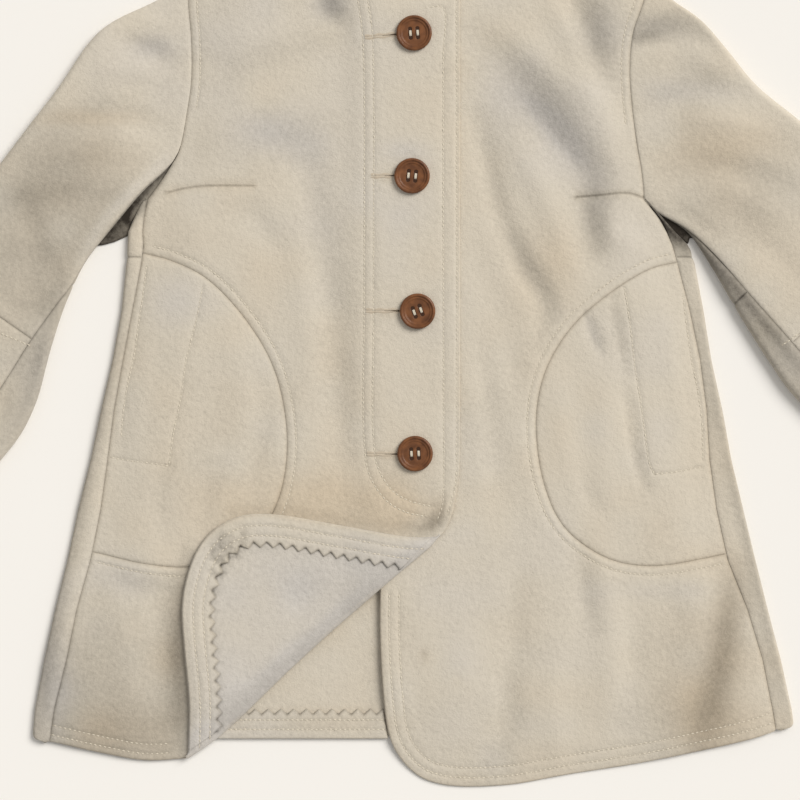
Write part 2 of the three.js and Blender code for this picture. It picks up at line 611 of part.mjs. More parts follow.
const coat = new THREE.Group();
coat.name = 'hooded_coat';
coat.add(
  toMesh('back_upper', back.upper, cloth),
  toMesh('back_lower', back.lower, cloth),
  toMesh('front_right', fronts.right, cloth),
  toMesh('front_left', fronts.left, cloth),
  toMesh('pocket_panel_right', fronts.panelRight, cloth),
  toMesh('pocket_panel_left', fronts.panelLeft, cloth),
  toMesh('facing_right', fronts.facing, facing),
  toMesh('hem_facing_back', makeHemFacing(), facing),
  toMesh('sleeve_right_upper_top', sleeveRight.upperTop, cloth),
  toMesh('sleeve_right_upper_cuff', sleeveRight.upperCuff, cloth),
  toMesh('sleeve_right_under_top', sleeveRight.underTop, cloth),
  toMesh('sleeve_right_under_cuff', sleeveRight.underCuff, cloth),
  toMesh('sleeve_left_upper_top', sleeveLeft.upperTop, cloth),
  toMesh('sleeve_left_upper_cuff', sleeveLeft.upperCuff, cloth),
  toMesh('sleeve_left_under_top', sleeveLeft.underTop, cloth),
  toMesh('sleeve_left_under_cuff', sleeveLeft.underCuff, cloth),
  toMesh('hood_right', makeHood(-1), cloth),
  toMesh('hood_left', makeHood(1), cloth),
  ...BUTTONS.map((button, k) => toMesh(`button_${k + 1}`, makeButton(button), plastic)),
);

// Stand the coat on the middle of its underside.
const box = new THREE.Box3().setFromObject(coat);
const shift = new THREE.Vector3(-(box.min.x + box.max.x) / 2, -(box.min.y + box.max.y) / 2, -box.min.z);
coat.children.forEach((mesh) => mesh.geometry.translate(shift.x, shift.y, shift.z));

export default coat;
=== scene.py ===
"""A hooded wool coat laid flat on a pale floor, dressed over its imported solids."""

from __future__ import annotations

import logging
import math
from collections.abc import Callable, Sequence
from dataclasses import dataclass, field
from enum import Enum
from typing import ClassVar

import bpy
import numpy as np
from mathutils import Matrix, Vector
from mathutils.bvhtree import BVHTree
from mathutils.geometry import delaunay_2d_cdt

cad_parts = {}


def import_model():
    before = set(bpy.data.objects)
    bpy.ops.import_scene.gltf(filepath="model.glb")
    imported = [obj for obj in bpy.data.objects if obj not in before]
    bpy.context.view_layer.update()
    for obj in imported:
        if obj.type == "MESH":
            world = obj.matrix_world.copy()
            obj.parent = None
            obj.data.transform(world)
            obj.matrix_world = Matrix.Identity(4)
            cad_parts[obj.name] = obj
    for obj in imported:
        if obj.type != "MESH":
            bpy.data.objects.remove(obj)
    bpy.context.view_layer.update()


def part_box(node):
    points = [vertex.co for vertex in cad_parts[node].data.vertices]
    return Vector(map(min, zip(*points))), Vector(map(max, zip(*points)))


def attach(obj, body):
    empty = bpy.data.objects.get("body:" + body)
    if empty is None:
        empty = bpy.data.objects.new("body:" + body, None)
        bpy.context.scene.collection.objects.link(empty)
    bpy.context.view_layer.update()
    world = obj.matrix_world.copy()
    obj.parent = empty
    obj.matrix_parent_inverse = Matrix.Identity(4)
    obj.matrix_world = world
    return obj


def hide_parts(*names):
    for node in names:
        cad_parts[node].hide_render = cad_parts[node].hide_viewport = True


LOG = logging.getLogger("coat")

Array = np.ndarray
Height = Callable[[Array, Array], Array]
Line = Sequence[Sequence[float]]
Rows = tuple[Array, ...]
Tris = list[tuple[int, int, int]]
Colour = tuple[float, float, float]
Thing = bpy.types.Object
Material = bpy.types.Material
Socket = bpy.types.NodeSocket
Feed = Socket | Colour | float

# Lengths are in millimetres (mm), and places on the pattern in grid units. One mm in the frame's metres:
MM = 0.001
# Thickness of the wool and of the thinner facings, in mm.
CLOTH = 2.5
FACING = 1.5
# Rise of one laid layer, radius of a rolled edge and gap at a seam, in mm.
LAYER = 2.8
ROLL = 2.65
TOUCH = 0.04
# Distances from a rim, in mm, at which a mesh gets a row of points of its own.
RIM_ROWS = (0.45, 1.15, 2.3, 3.9, 6.2)
# Spacing of samples along an outline, in grid units, and samples worked out for each span of a curve.
STEP = 2.4
SPAN_SAMPLES = 25
# Two points of a loop that are closer than this, in grid units, count as one.
DOUBLED = 0.35
# Most pairs of points that are measured in one go.
PAIRS = 4_000_000
# Added to a length that is divided by, so that it is never zero.
TINY = 1e-9
# Large odd factors and the word that scramble whole numbers into a repeatable random one.
SCATTER = (374761393, 668265263, 974711)
SCRAMBLE = 1274126177
WORD = 0xFFFFFFFF


class Slot(Enum):
    """The record's material slots."""

    WOOL = "wool"
    BUTTON = "button"


class Side(Enum):
    """The wearer's side, as a sign along the pattern's x."""

    RIGHT = -1
    LEFT = 1


@dataclass(frozen=True)
class Pattern:
    """The flat grid that the coat is drawn on, x to the right and y down, and its place in the frame."""

    unit: float = 0.9
    centre: float = 413.0
    level: float = 400.0
    shift_x: float = 0.0
    shift_y: float = 0.0

    def place(self, grid: Array) -> Array:
        """Turns grid points into frame mm.

        Args:
            grid: Points in grid units, last axis (x, y).

        Returns:
            The points in mm in the frame.
        """
        x = (grid[..., 0] - self.centre) * self.unit + self.shift_x
        y = (self.level - grid[..., 1]) * self.unit + self.shift_y
        return np.stack([x, y], axis=-1)

    def unplace(self, x: Array, y: Array) -> tuple[Array, Array]:
        """Turns frame mm back into grid units.

        Args:
            x: Frame x in mm.
            y: Frame y in mm.

        Returns:
            The grid x and y.
        """
        return (x - self.shift_x) / self.unit + self.centre, self.level - (y - self.shift_y) / self.unit


def smooth(low: float, high: float, value: Array | float) -> Array:
    """Eases from 0 at low to 1 at high."""
    t = np.clip((value - low) / (high - low), 0.0, 1.0)
    return t * t * (3 - 2 * t)


def soft_floor(value: Array, floor: float, softness: float = 0.5) -> Array:
    """Keeps a height above a floor with a soft knee."""
    return floor + softness * np.logaddexp(0.0, (value - floor) / softness)


def bell(away: Array, half: float, power: float = 2) -> Array:
    """Falls from 1 on a line to 0 some way off it."""
    return np.exp(-((away / half) ** power))


def hashed(x: Array, y: Array, seed: int) -> Array:
    """A repeatable random number from 0 to 1 for each whole lattice point.

    Args:
        x: Whole x of each point.
        y: Whole y of each point.
        seed: Picks the pattern.

    Returns:
        The numbers.
    """
    n = (x.astype(np.int64) * SCATTER[0] + y.astype(np.int64) * SCATTER[1] + seed * SCATTER[2]) & WORD
    n = ((n ^ (n >> 13)) * SCRAMBLE) & WORD
    return ((n ^ (n >> 16)) & 0xFFFF) / 0xFFFF


def wander(x: Array, y: Array, size: float, seed: int) -> Array:
    """Smooth noise from -1 to 1.

    Args:
        x: Grid x.
        y: Grid y.
        size: Width of one bump in grid units.
        seed: Picks the pattern.

    Returns:
        The noise at each point.
    """
    u, v = x / size, y / size
    ui, vi = np.floor(u), np.floor(v)
    fu, fv = u - ui, v - vi
    fu, fv = fu * fu * (3 - 2 * fu), fv * fv * (3 - 2 * fv)
    low = hashed(ui, vi, seed) * (1 - fu) + hashed(ui + 1, vi, seed) * fu
    high = hashed(ui, vi + 1, seed) * (1 - fu) + hashed(ui + 1, vi + 1, seed) * fu
    return 2 * (low * (1 - fv) + high * fv) - 1


def drift(x: Array, y: Array, *layers: tuple[float, float, int]) -> Array:
    """Adds up layers of smooth noise.

    Args:
        x: Grid x.
        y: Grid y.
        layers: Strength, bump width in grid units and seed of each layer.

    Returns:
        The noise at each point.
    """
    return sum(strength * wander(x, y, size, seed) for strength, size, seed in layers)


def curve(points: Line | Array, step: float = STEP) -> Array:
    """Samples a smooth curve through points.

    Args:
        points: The points in grid units.
        step: Distance between samples in grid units.

    Returns:
        The samples, ends included.
    """
    p = np.asarray(points, float)
    if len(p) == 2:
        return straight(p, step)
    p = np.vstack([2 * p[0] - p[1], p, 2 * p[-1] - p[-2]])
    out = []
    for k in range(1, len(p) - 2):
        a, b, c, d = p[k - 1], p[k], p[k + 1], p[k + 2]
        spans = [max(1e-6, np.linalg.norm(q - r)) ** 0.5 for q, r in ((b, a), (c, b), (d, c))]
        t0, t1, t2, t3 = np.cumsum([0.0, *spans])
        t = np.linspace(t1, t2, SPAN_SAMPLES)[:, None]
        ab = (t1 - t) / (t1 - t0) * a + (t - t0) / (t1 - t0) * b
        bc = (t2 - t) / (t2 - t1) * b + (t - t1) / (t2 - t1) * c
        cd = (t3 - t) / (t3 - t2) * c + (t - t2) / (t3 - t2) * d
        left = (t2 - t) / (t2 - t0) * ab + (t - t0) / (t2 - t0) * bc
        right = (t3 - t) / (t3 - t1) * bc + (t - t1) / (t3 - t1) * cd
        piece = (t2 - t) / (t2 - t1) * left + (t - t1) / (t2 - t1) * right
        out.append(piece if k == 1 else piece[1:])
    return straight(np.vstack(out), step)


def straight(points: Line | Array, step: float = STEP) -> Array:
    """Resamples a line of points at an even step.

    Args:
        points: The line's points.
        step: Distance between samples, in the points' own unit.

    Returns:
        The samples, ends included.
    """
    p = np.asarray(points, float)
    length = np.concatenate([[0.0], np.cumsum(np.linalg.norm(np.diff(p, axis=0), axis=1))])
    count = max(2, int(round(length[-1] / step)) + 1)
    at = np.linspace(0.0, length[-1], count)
    return np.stack([np.interp(at, length, p[:, k]) for k in range(p.shape[1])], axis=1)


def loop_of(*parts: Array) -> Array:
    """Joins lines into one closed loop.

    Args:
        parts: Lines of samples, in order round the loop.

    Returns:
        The loop's points with doubled joints removed.
    """
    points = np.vstack(parts)
    keep = np.linalg.norm(points - np.roll(points, 1, axis=0), axis=1) > DOUBLED
    return points[keep]


def offset(line: Array, distance: float) -> Array:
    """Moves a line sideways, to the left of its direction on the grid for a positive distance.

    Args:
        line: The line's samples in grid units.
        distance: How far in grid units.

    Returns:
        The moved samples.
    """
    t = np.gradient(line, axis=0)
    t /= np.linalg.norm(t, axis=1, keepdims=True) + TINY
    return line + distance * np.stack([t[:, 1], -t[:, 0]], axis=1)


def closest(points: Array, line: Array) -> tuple[Array, Array]:
    """Finds the nearest sample of a line to each point.

    Args:
        points: The points to measure, (n, 2).
        line: The line's samples, (m, 2).

    Returns:
        The distance and the sample's number for each point.
    """
    out, which = np.empty(len(points)), np.empty(len(points), int)
    size = max(1, int(PAIRS / max(1, len(line))))
    squares = (line**2).sum(1)
    for k in range(0, len(points), size):
        part = points[k : k + size]
        gap = (part**2).sum(1)[:, None] + squares - 2 * part @ line.T
        which[k : k + size] = gap.argmin(1)
        out[k : k + size] = np.sqrt(np.maximum(gap.min(1), 0.0))
    return out, which


def nearest(points: Array, line: Array) -> Array:
    """Distance from each point to the nearest sample of a line."""
    return closest(points, line)[0]


def circle(centre: Sequence[float], wide: float, tall: float, turns: Array) -> Array:
    """Points on an ellipse at the given turns, in radians, as an (n, 2) array."""
    return np.column_stack([centre[0] + wide * np.cos(turns), centre[1] + tall * np.sin(turns)])


def turns_of(count: int) -> Array:
    """Even turns right round a circle, in radians."""
    return np.linspace(0, 2 * math.pi, count, endpoint=False)


def strip(first: Array, second: Array) -> Tris:
    """Two triangles between each step along two rows of point numbers.

    Args:
        first: Point numbers of the first row.
        second: As many point numbers of the second row.

    Returns:
        The triangles, two for each step.
    """
    steps = zip(first[:-1], first[1:], second[1:], second[:-1])
    return [tri for a, b, c, d in steps for tri in ((a, d, c), (a, c, b))]


def inside(points: Array, loop: Array) -> Array:
    """Tells which points lie inside a closed loop.

    Args:
        points: The points to test.
        loop: The loop's corners.

    Returns:
        True for each point inside.
    """
    out = np.zeros(len(points), bool)
    a, b = loop, np.roll(loop, -1, axis=0)
    size = max(1, int(PAIRS / len(loop)))
    for k in range(0, len(points), size):
        x, y = points[k : k + size, 0:1], points[k : k + size, 1:2]
        cross = (a[:, 1] > y) != (b[:, 1] > y)
        at = (b[:, 0] - a[:, 0]) * (y - a[:, 1]) / (b[:, 1] - a[:, 1] + 1e-12) + a[:, 0]
        out[k : k + size] = ((cross & (x < at)).sum(1) % 2).astype(bool)
    return out


@dataclass(frozen=True)
class Fold:
    """A soft ridge or trough along a line, which is given as x and y by turns.

    A positive rise is a ridge. Shade is painted shade along it, or painted light below 0; tan warms the
    colour or, below 0, greys it; both fade at its ends.
    """

    line: tuple[float, ...]
    half: float
    rise: float
    shade: float = 0.0
    tan: float = 0.0
    step: ClassVar[float] = 4.0
    reach: ClassVar[float] = 3.2
    end: ClassVar[float] = 0.35

    def weight(self, points: Array) -> Array:
        """How strongly the fold acts at each point, from 0 to 1.

        Args:
            points: Grid points.

        Returns:
            The strengths.
        """
        path = curve(np.reshape(self.line, (-1, 2)), self.step)
        out = np.zeros(len(points))
        reach = self.reach * self.half
        low, high = path.min(0) - reach, path.max(0) + reach
        near = np.all((points > low) & (points < high), axis=1)
        if not near.any():
            return out
        part = points[near]
        gap = np.linalg.norm(part[:, None, :] - path[None, :, :], axis=2)
        run = gap.argmin(1) / (len(path) - 1)
        taper = self.end + (1 - self.end) * np.sin(np.pi * np.clip(run, 0.02, 0.98)) ** 0.7
        out[near] = bell(gap.min(1), self.half) * taper
        return out


@dataclass(frozen=True)
class Tone:
    """A soft patch in the nap's colour: painted shade, or painted light below 0, where the coat lies in a
    fold, a hollow or away from the lamp, and a real stain elsewhere. Its middle, half sizes, how dark it is,
    and how tan or, below 0, how grey.
    """

    x: float
    y: float
    wide: float
    tall: float
    shade: float = 0.0
    tan: float = 0.0

    def weight(self, x: Array, y: Array) -> Array:
        """How strongly the patch shows at each point."""
        return np.exp(-(((x - self.x) / self.wide) ** 2) - ((y - self.y) / self.tall) ** 2)


def folds_of(*rows: tuple) -> tuple[Fold, ...]:
    """Folds from rows of line, half width, rise, shade and tan."""
    return tuple(Fold(*row) for row in rows)


def tones_of(*rows: tuple[float, ...]) -> tuple[Tone, ...]:
    """Patches from rows of x, y, half width, half height, shade and tan."""
    return tuple(Tone(*row) for row in rows)


# Outline of the body at levels down the coat: y, folded edge left, seam left, seam right, folded edge right.
BODY_LEVELS = np.array(
    [
        (199, 143, 147.5, 644.5, 649),
        (217, 134, 143.5, 659, 663),
        (232, 127.5, 142, 667, 676),
        (246, 127, 143, 673, 690),
        (262, 126, 141, 677.5, 695),
        (310, 121, 132, 690, 704),
        (360, 112, 122.5, 700.5, 712),
        (410, 100.5, 113.5, 707, 723),
        (460, 90, 107, 710, 732),
        (510, 77.5, 100, 717, 744),
        (560, 67, 90, 728, 756),
        (610, 54.5, 76, 748, 768.5),
        (660, 43.5, 66, 763, 781.5),
        (710, 34, 53.5, 773, 792.5),
        (742, 31.5, 49, 778, 797),
    ]
)
EDGE_L, SEAM_L, SEAM_R, EDGE_R = 1, 2, 3, 4
# Levels of the underarm, the waist seam and the hem of the back at either side, in grid units.
UNDERARM = 199.0
WAIST_SEAM = 257.0
BACK_HEM = 742.0
BACK_HEM_RIGHT = 730.0

# Seams, edges and stitch lines of the pattern, in grid units. L and R are the sheet's left and right.
ARMHOLE_L = [
    (190, -20), (188, 0), (191, 40), (191, 80), (187, 110), (179, 150), (171, 165), (160, 182), (147.5, 199),
]
ARMHOLE_R = [(648, -22), (644, 0), (633, 34), (630, 69), (632, 103), (637, 143), (642, 172), (644.5, 199)]
PANEL_SEAM_L = [
    (143, 253), (172, 261), (207, 279), (248, 323), (275, 372), (287, 440),
    (279, 497), (258, 535), (225, 559), (188, 567), (146, 564), (91.5, 552),
]
PANEL_SEAM_R = [
    (678, 262), (650, 269), (606, 296), (570, 329), (545, 372), (536, 420),
    (544, 484), (565, 528), (607, 558), (650, 566), (702, 559), (727, 554),
]
FOLD_LINE = [(442, 537), (379, 590), (299, 661), (241, 717), (212, 742.5), (188, 759)]
FOLD_TIP = (441.0, 536.0)
# Direction out of that fold, across the grid.
FOLD_OUT = (0.662, 0.75)
FLAP_EDGE = [
    (440, 535.5), (425, 537), (405, 536), (340, 525), (272, 514), (240, 516),
    (213, 530), (197, 550), (186, 580), (182, 607), (184, 645), (189, 702), (188, 752),
]
HEM_RIGHT_FRONT = [(49, 742), (103, 754), (145, 761), (188, 759)]
HEM_LEFT_FRONT = [
    (380, 594), (380, 633), (383, 690), (389, 735), (399, 757), (419, 777),
    (446, 786), (506, 786), (564, 776), (650, 762), (754, 739), (775, 732),
]
NECK_R = [(331, -75), (380, -12), (400, -3), (460, -2)]
NECK_L = [(495, -75), (446, -12), (426, -4), (380, -3)]

FRONT_EDGE_ROW = [
    (430, 8), (443, 8), (443, 60), (443, 200), (443.5, 400), (443.5, 480), (442.5, 504), (437, 520),
]
FRONT_EDGE_LINE = [(456.3, -4), (456.5, 200), (456.3, 440), (455.5, 482), (451.5, 500), (447.5, 513)]
PLACKET_OUTER = [
    (357, -4), (362, 30), (364, 80), (364, 300), (364, 440), (369, 474), (386, 500), (406, 512), (424, 516),
]
PLACKET_INNER = [
    (367, -4), (372, 30), (373.5, 80), (373.5, 300), (373.5, 440), (378, 468), (392, 490), (410, 501),
    (431, 506),
]

# Each button's middle and the turn of its holes in degrees, and both ends of each buttonhole.
BUTTONS = ((414.0, 34.0, 4.0), (412.0, 176.5, -6.0), (417.5, 311.5, 20.0), (415.0, 453.5, 3.0))
BUTTONHOLES = ((365, 38, 397, 35), (371, 176.5, 396, 176), (366, 311, 400, 311), (367, 454, 399, 454))


def body(y: Array | float, column: int) -> Array:
    """The body table read at a level."""
    return np.interp(y, BODY_LEVELS[:, 0], BODY_LEVELS[:, column])


def side_line(column: int, start: float, end: float) -> Array:
    """A side edge or side seam between two levels, in grid units.

    Args:
        column: The body table's column.
        start: The first level.
        end: The last level.

    Returns:
        The line's samples.
    """
    inner = [y for y in BODY_LEVELS[:, 0] if min(start, end) + 1 < y < max(start, end) - 1]
    rows = [start, *(inner if start < end else inner[::-1]), end]
    return straight([(float(body(y, column)), y) for y in rows])


# Folds of the fronts, each as line, half width, rise, shade and tan: the shade is painted shade in troughs
# and creases.
FRONT_FOLDS = folds_of(
    # The long diagonal drag lines of the left chest.
    ((472, 36, 505, 66, 545, 108, 580, 152, 600, 200, 592, 248), 16, -3.4, 0.13),
    ((545, 112, 578, 150, 598, 188, 594, 222), 17, -0.8, 0.1, -0.3),
    ((478, 56, 515, 92, 555, 132, 592, 172), 24, -0.6, 0.08, -0.3),
    ((510, 34, 560, 76, 606, 122, 628, 160), 17, 2.6, -0.02),
    ((476, 118, 490, 165, 506, 230, 528, 272, 547, 302, 538, 345), 11, -3, 0.15),
    ((516, 244, 538, 282, 553, 312), 12, -1.2, 0.17, -0.3),
    ((508, 122, 532, 170, 556, 222, 570, 268), 15, 2.6, -0.02),
    ((576, -10, 594, 26, 606, 74), 15, -3.2, 0.24), ((592, -6, 600, 24, 606, 60), 24, -0.6, 0.08),
    ((556, 0, 570, 40, 590, 92), 12, 2.2, -0.02), ((588, 196, 594, 224, 597, 258), 11, -2, 0.18),
    ((520, 92, 552, 124, 580, 160), 9, -0.8, 0.09, -0.4), ((608, 200, 612, 232, 640, 250), 12, 1.4),
    ((480, 250, 505, 330, 525, 400, 530, 480), 16, -1.5, 0.04), ((540, 330, 522, 420, 535, 520), 12, 1.2),
    ((470, 330, 476, 420, 480, 520), 14, 1), ((482, 336, 492, 420, 501, 500), 11, -1.5, 0.08),
    # The left side of the chest and the hollow beside the button band.
    ((310, 168, 320, 210, 333, 300, 341, 400, 345, 450), 15, -2.4, 0.11, 0),
    ((250, 150, 285, 190, 303, 290, 312, 420), 17, 1.5), ((324, -6, 334, 10, 342, 20), 11, -2.2, 0.26),
    ((196, 104, 230, 76, 290, 54, 345, 38), 15, -1.5, 0.06), ((205, 60, 250, 40, 300, 18), 14, 1.6),
    ((200, 20, 240, 12, 285, 0), 12, -1, 0.03), ((192, 150, 236, 132, 280, 150), 14, 1.1),
    ((200, 214, 245, 214, 285, 250), 12, -0.9, 0.03), ((235, 188, 262, 195, 280, 225), 10, 1),
    # Below the pocket panels.
    ((576, 550, 584, 590, 590, 632), 11, -2.2, 0.1), ((604, 566, 612, 620, 606, 705), 14, 1.6),
    ((520, 560, 514, 650, 508, 740, 498, 782), 13, -1.6, 0.05), ((560, 640, 552, 700, 556, 775), 15, 1.4),
    ((738, 566, 728, 615, 716, 675, 700, 745), 15, -3.4, 0.2, 0.25),
    ((698, 580, 684, 650, 668, 745), 18, 2.2), ((756, 590, 760, 650, 767, 720), 11, 1.8),
    ((640, 600, 636, 660, 628, 740), 13, -1.2, 0.04), ((506, 680, 512, 715, 508, 775), 12, -1.6, 0.09),
    ((480, 775, 489, 762, 490, 748), 8, -1, 0.05), ((450, 600, 462, 660, 458, 740), 22, 1.2),
    ((405, 620, 412, 680, 420, 740), 12, -0.8, 0.02),
    # The pocket panels.
    ((587, 314, 594, 335, 602, 354), 5, -2, 0.22, -0.3), ((612, 298, 618, 330, 627, 374), 5, -2, 0.19),
    ((623, 392, 632, 440, 643, 488), 5, -1.4, 0.13), ((627, 400, 634, 440, 646, 492), 6, -1.9, 0.12),
    ((583, 478, 590, 500, 600, 514), 8, -1.2, 0.07), ((606, 380, 604, 440, 612, 500), 13, 1.3),
    ((560, 380, 562, 440, 576, 500), 11, 0.9), ((666, 300, 676, 370, 684, 450), 12, 0.9),
    ((166, 470, 160, 505, 164, 540), 9, -1.3, 0.05), ((215, 470, 206, 510, 204, 545), 10, -1.2, 0.05),
    ((232, 330, 240, 400, 232, 470), 16, 1.3), ((262, 400, 260, 450, 252, 500), 11, -0.9, 0.03),
    ((150, 300, 140, 380, 130, 450), 10, 1), ((112, 575, 140, 585, 172, 584), 10, -1.5, 0.08),
    ((118, 610, 128, 680, 124, 745), 18, 1.5), ((84, 600, 80, 660, 76, 720), 9, -1, 0.04),
    ((166, 590, 168, 660, 170, 745), 12, -1.8, 0.16, 0.2),
    # Painted shadow beside the turned-back corner's left and top edges and at its tip, and painted shade at
    # the foot of the armhole.
    ((188, 550, 180, 590, 177, 640, 181, 700, 182, 756), 8, 0, 0.34, 0.2),
    ((230, 511, 290, 511, 350, 521, 405, 530, 434, 530), 7, 0, 0.15, 0.4),
    ((439, 500, 437, 518, 424, 532), 7, -1.2, 0.24, 0.3),
    ((174, 160, 160, 182, 149, 198, 143, 212), 4, 0, 0.3), ((416, 490, 396, 482, 386, 468), 9, -0.9, 0.05),
    ((398, 524, 420, 528, 440, 516), 8, -1, 0.14),
)

# Puckers at the turned-back corner's rounded corner with painted shade in them, and a band of painted shade
# along its fold.
FLAP_FOLDS = folds_of(
    ((222, 532, 221, 544, 225, 554), 2.6, -2.2, 0.52), ((227, 535, 231, 541, 231, 550), 2.4, -2.2, 0.46),
    ((215, 545, 213, 556, 220, 564), 2.8, -2.2, 0.46), ((243, 530, 243, 540, 238, 549), 2.4, -2, 0.4),
    ((226, 556, 233, 558, 240, 552), 2.4, -1.4, 0.4), ((211, 570, 218, 575, 225, 571), 2.6, -1.8, 0.38),
    ((219, 556, 224, 561, 223, 566), 2.4, -1.6, 0.34), ((210, 590, 216, 593, 212, 597), 2.4, -1, 0.24),
    ((225, 534, 232, 545, 236, 551), 2.2, 1.4), ((216, 545, 222, 556, 226, 563), 2.2, 1.2),
    ((290, 590, 330, 600, 365, 585), 22, -1.2, 0.03), ((240, 620, 232, 680, 222, 720), 14, 1),
    ((446, 532, 376, 592, 296, 662, 185, 760), 15, 0, 0.2, -0.9),
)
# Painted shade on the rounded fold itself.
TURN_FOLDS = folds_of(((460, 520, 379, 590, 299, 661, 176, 772), 16, 0, 0.19, -1))

# Folds of the sleeves and hood, with painted shade in the troughs and along the sleeves' lower edges, and
# painted light where the shade is below 0.
SLEEVE_FOLDS = folds_of(
    # The right sleeve, to the left of the sheet.
    ((126, 40, 150, 46, 176, 60), 10, -2.6, 0.16), ((140, 14, 160, 24, 182, 28), 10, 1.4),
    ((108, 72, 142, 74, 176, 86), 12, 2.4), ((56, 122, 110, 112, 168, 124), 12, -2.2, 0.09),
    ((110, 160, 140, 150, 168, 150), 10, 1.4), ((40, 160, 80, 150, 120, 140), 12, 1.6),
    ((6, 206, 50, 196, 112, 196), 14, -2.4, 0.1), ((0, 250, 30, 240, 76, 236), 13, 1.9),
    ((20, 190, 40, 240, 30, 300), 12, -1.8, 0.1), ((50, 262, 58, 282, 44, 306), 9, -1.4, 0.07),
    ((0, 300, 24, 314, 48, 304), 9, -1.6, 0.08), ((158, 160, 112, 204, 76, 252, 52, 300), 16, 0, 0.13, 0.1),
    ((175, 165, 149, 193, 126, 216, 102, 247), 4, 0, 0.5),
    ((166, 160, 134, 190, 104, 222, 80, 262), 7, 0, -0.1, -0.5),
    ((62, 300, 46, 350, 30, 402, 0, 455), 19, 0, 0.2, -0.4), ((18, 338, 36, 350, 30, 376), 8, -1.4, 0.04),
    ((0, 380, 14, 400, 6, 430), 10, 1.2), ((-60, 340, -30, 380, 10, 360), 16, -2, 0.05),
    ((-120, 400, -80, 440, -50, 430), 16, 2), ((-150, 470, -110, 500, -80, 490), 14, -1.8, 0.04),
    # The left sleeve, to the right of the sheet.
    ((628, 39, 642, 37, 656, 34), 7, -3.2, 0.34), ((632, 22, 664, 22, 704, 24), 11, -1.4, 0.18),
    ((660, 36, 690, 34, 712, 40), 9, -1.6, 0.08), ((650, 62, 690, 56, 724, 70), 11, 2.4),
    ((640, 104, 690, 84, 740, 92), 11, -2, 0.07), ((650, 140, 700, 122, 760, 132), 13, 2.2),
    ((645, 176, 690, 164, 750, 172, 798, 190), 11, -2, 0.08), ((690, 196, 735, 196, 790, 222), 12, 1.8),
    ((652, 196, 680, 210, 712, 232), 8, -1.6, 0.1), ((745, 232, 775, 254, 800, 282), 12, -1.6, 0.05),
    ((660, 218, 690, 238, 740, 302, 800, 376), 13, 0, 0.16, -0.2),
    ((646, 198, 662, 216, 690, 236, 722, 272, 760, 318, 800, 366), 6, 0, 0.3),
    ((760, 140, 790, 150, 820, 170), 12, -1.2, 0.04), ((820, 290, 850, 320, 900, 320), 16, 2),
    ((840, 350, 890, 350, 930, 380), 14, -2, 0.04), ((920, 400, 960, 410, 1000, 400), 16, 1.8),
)

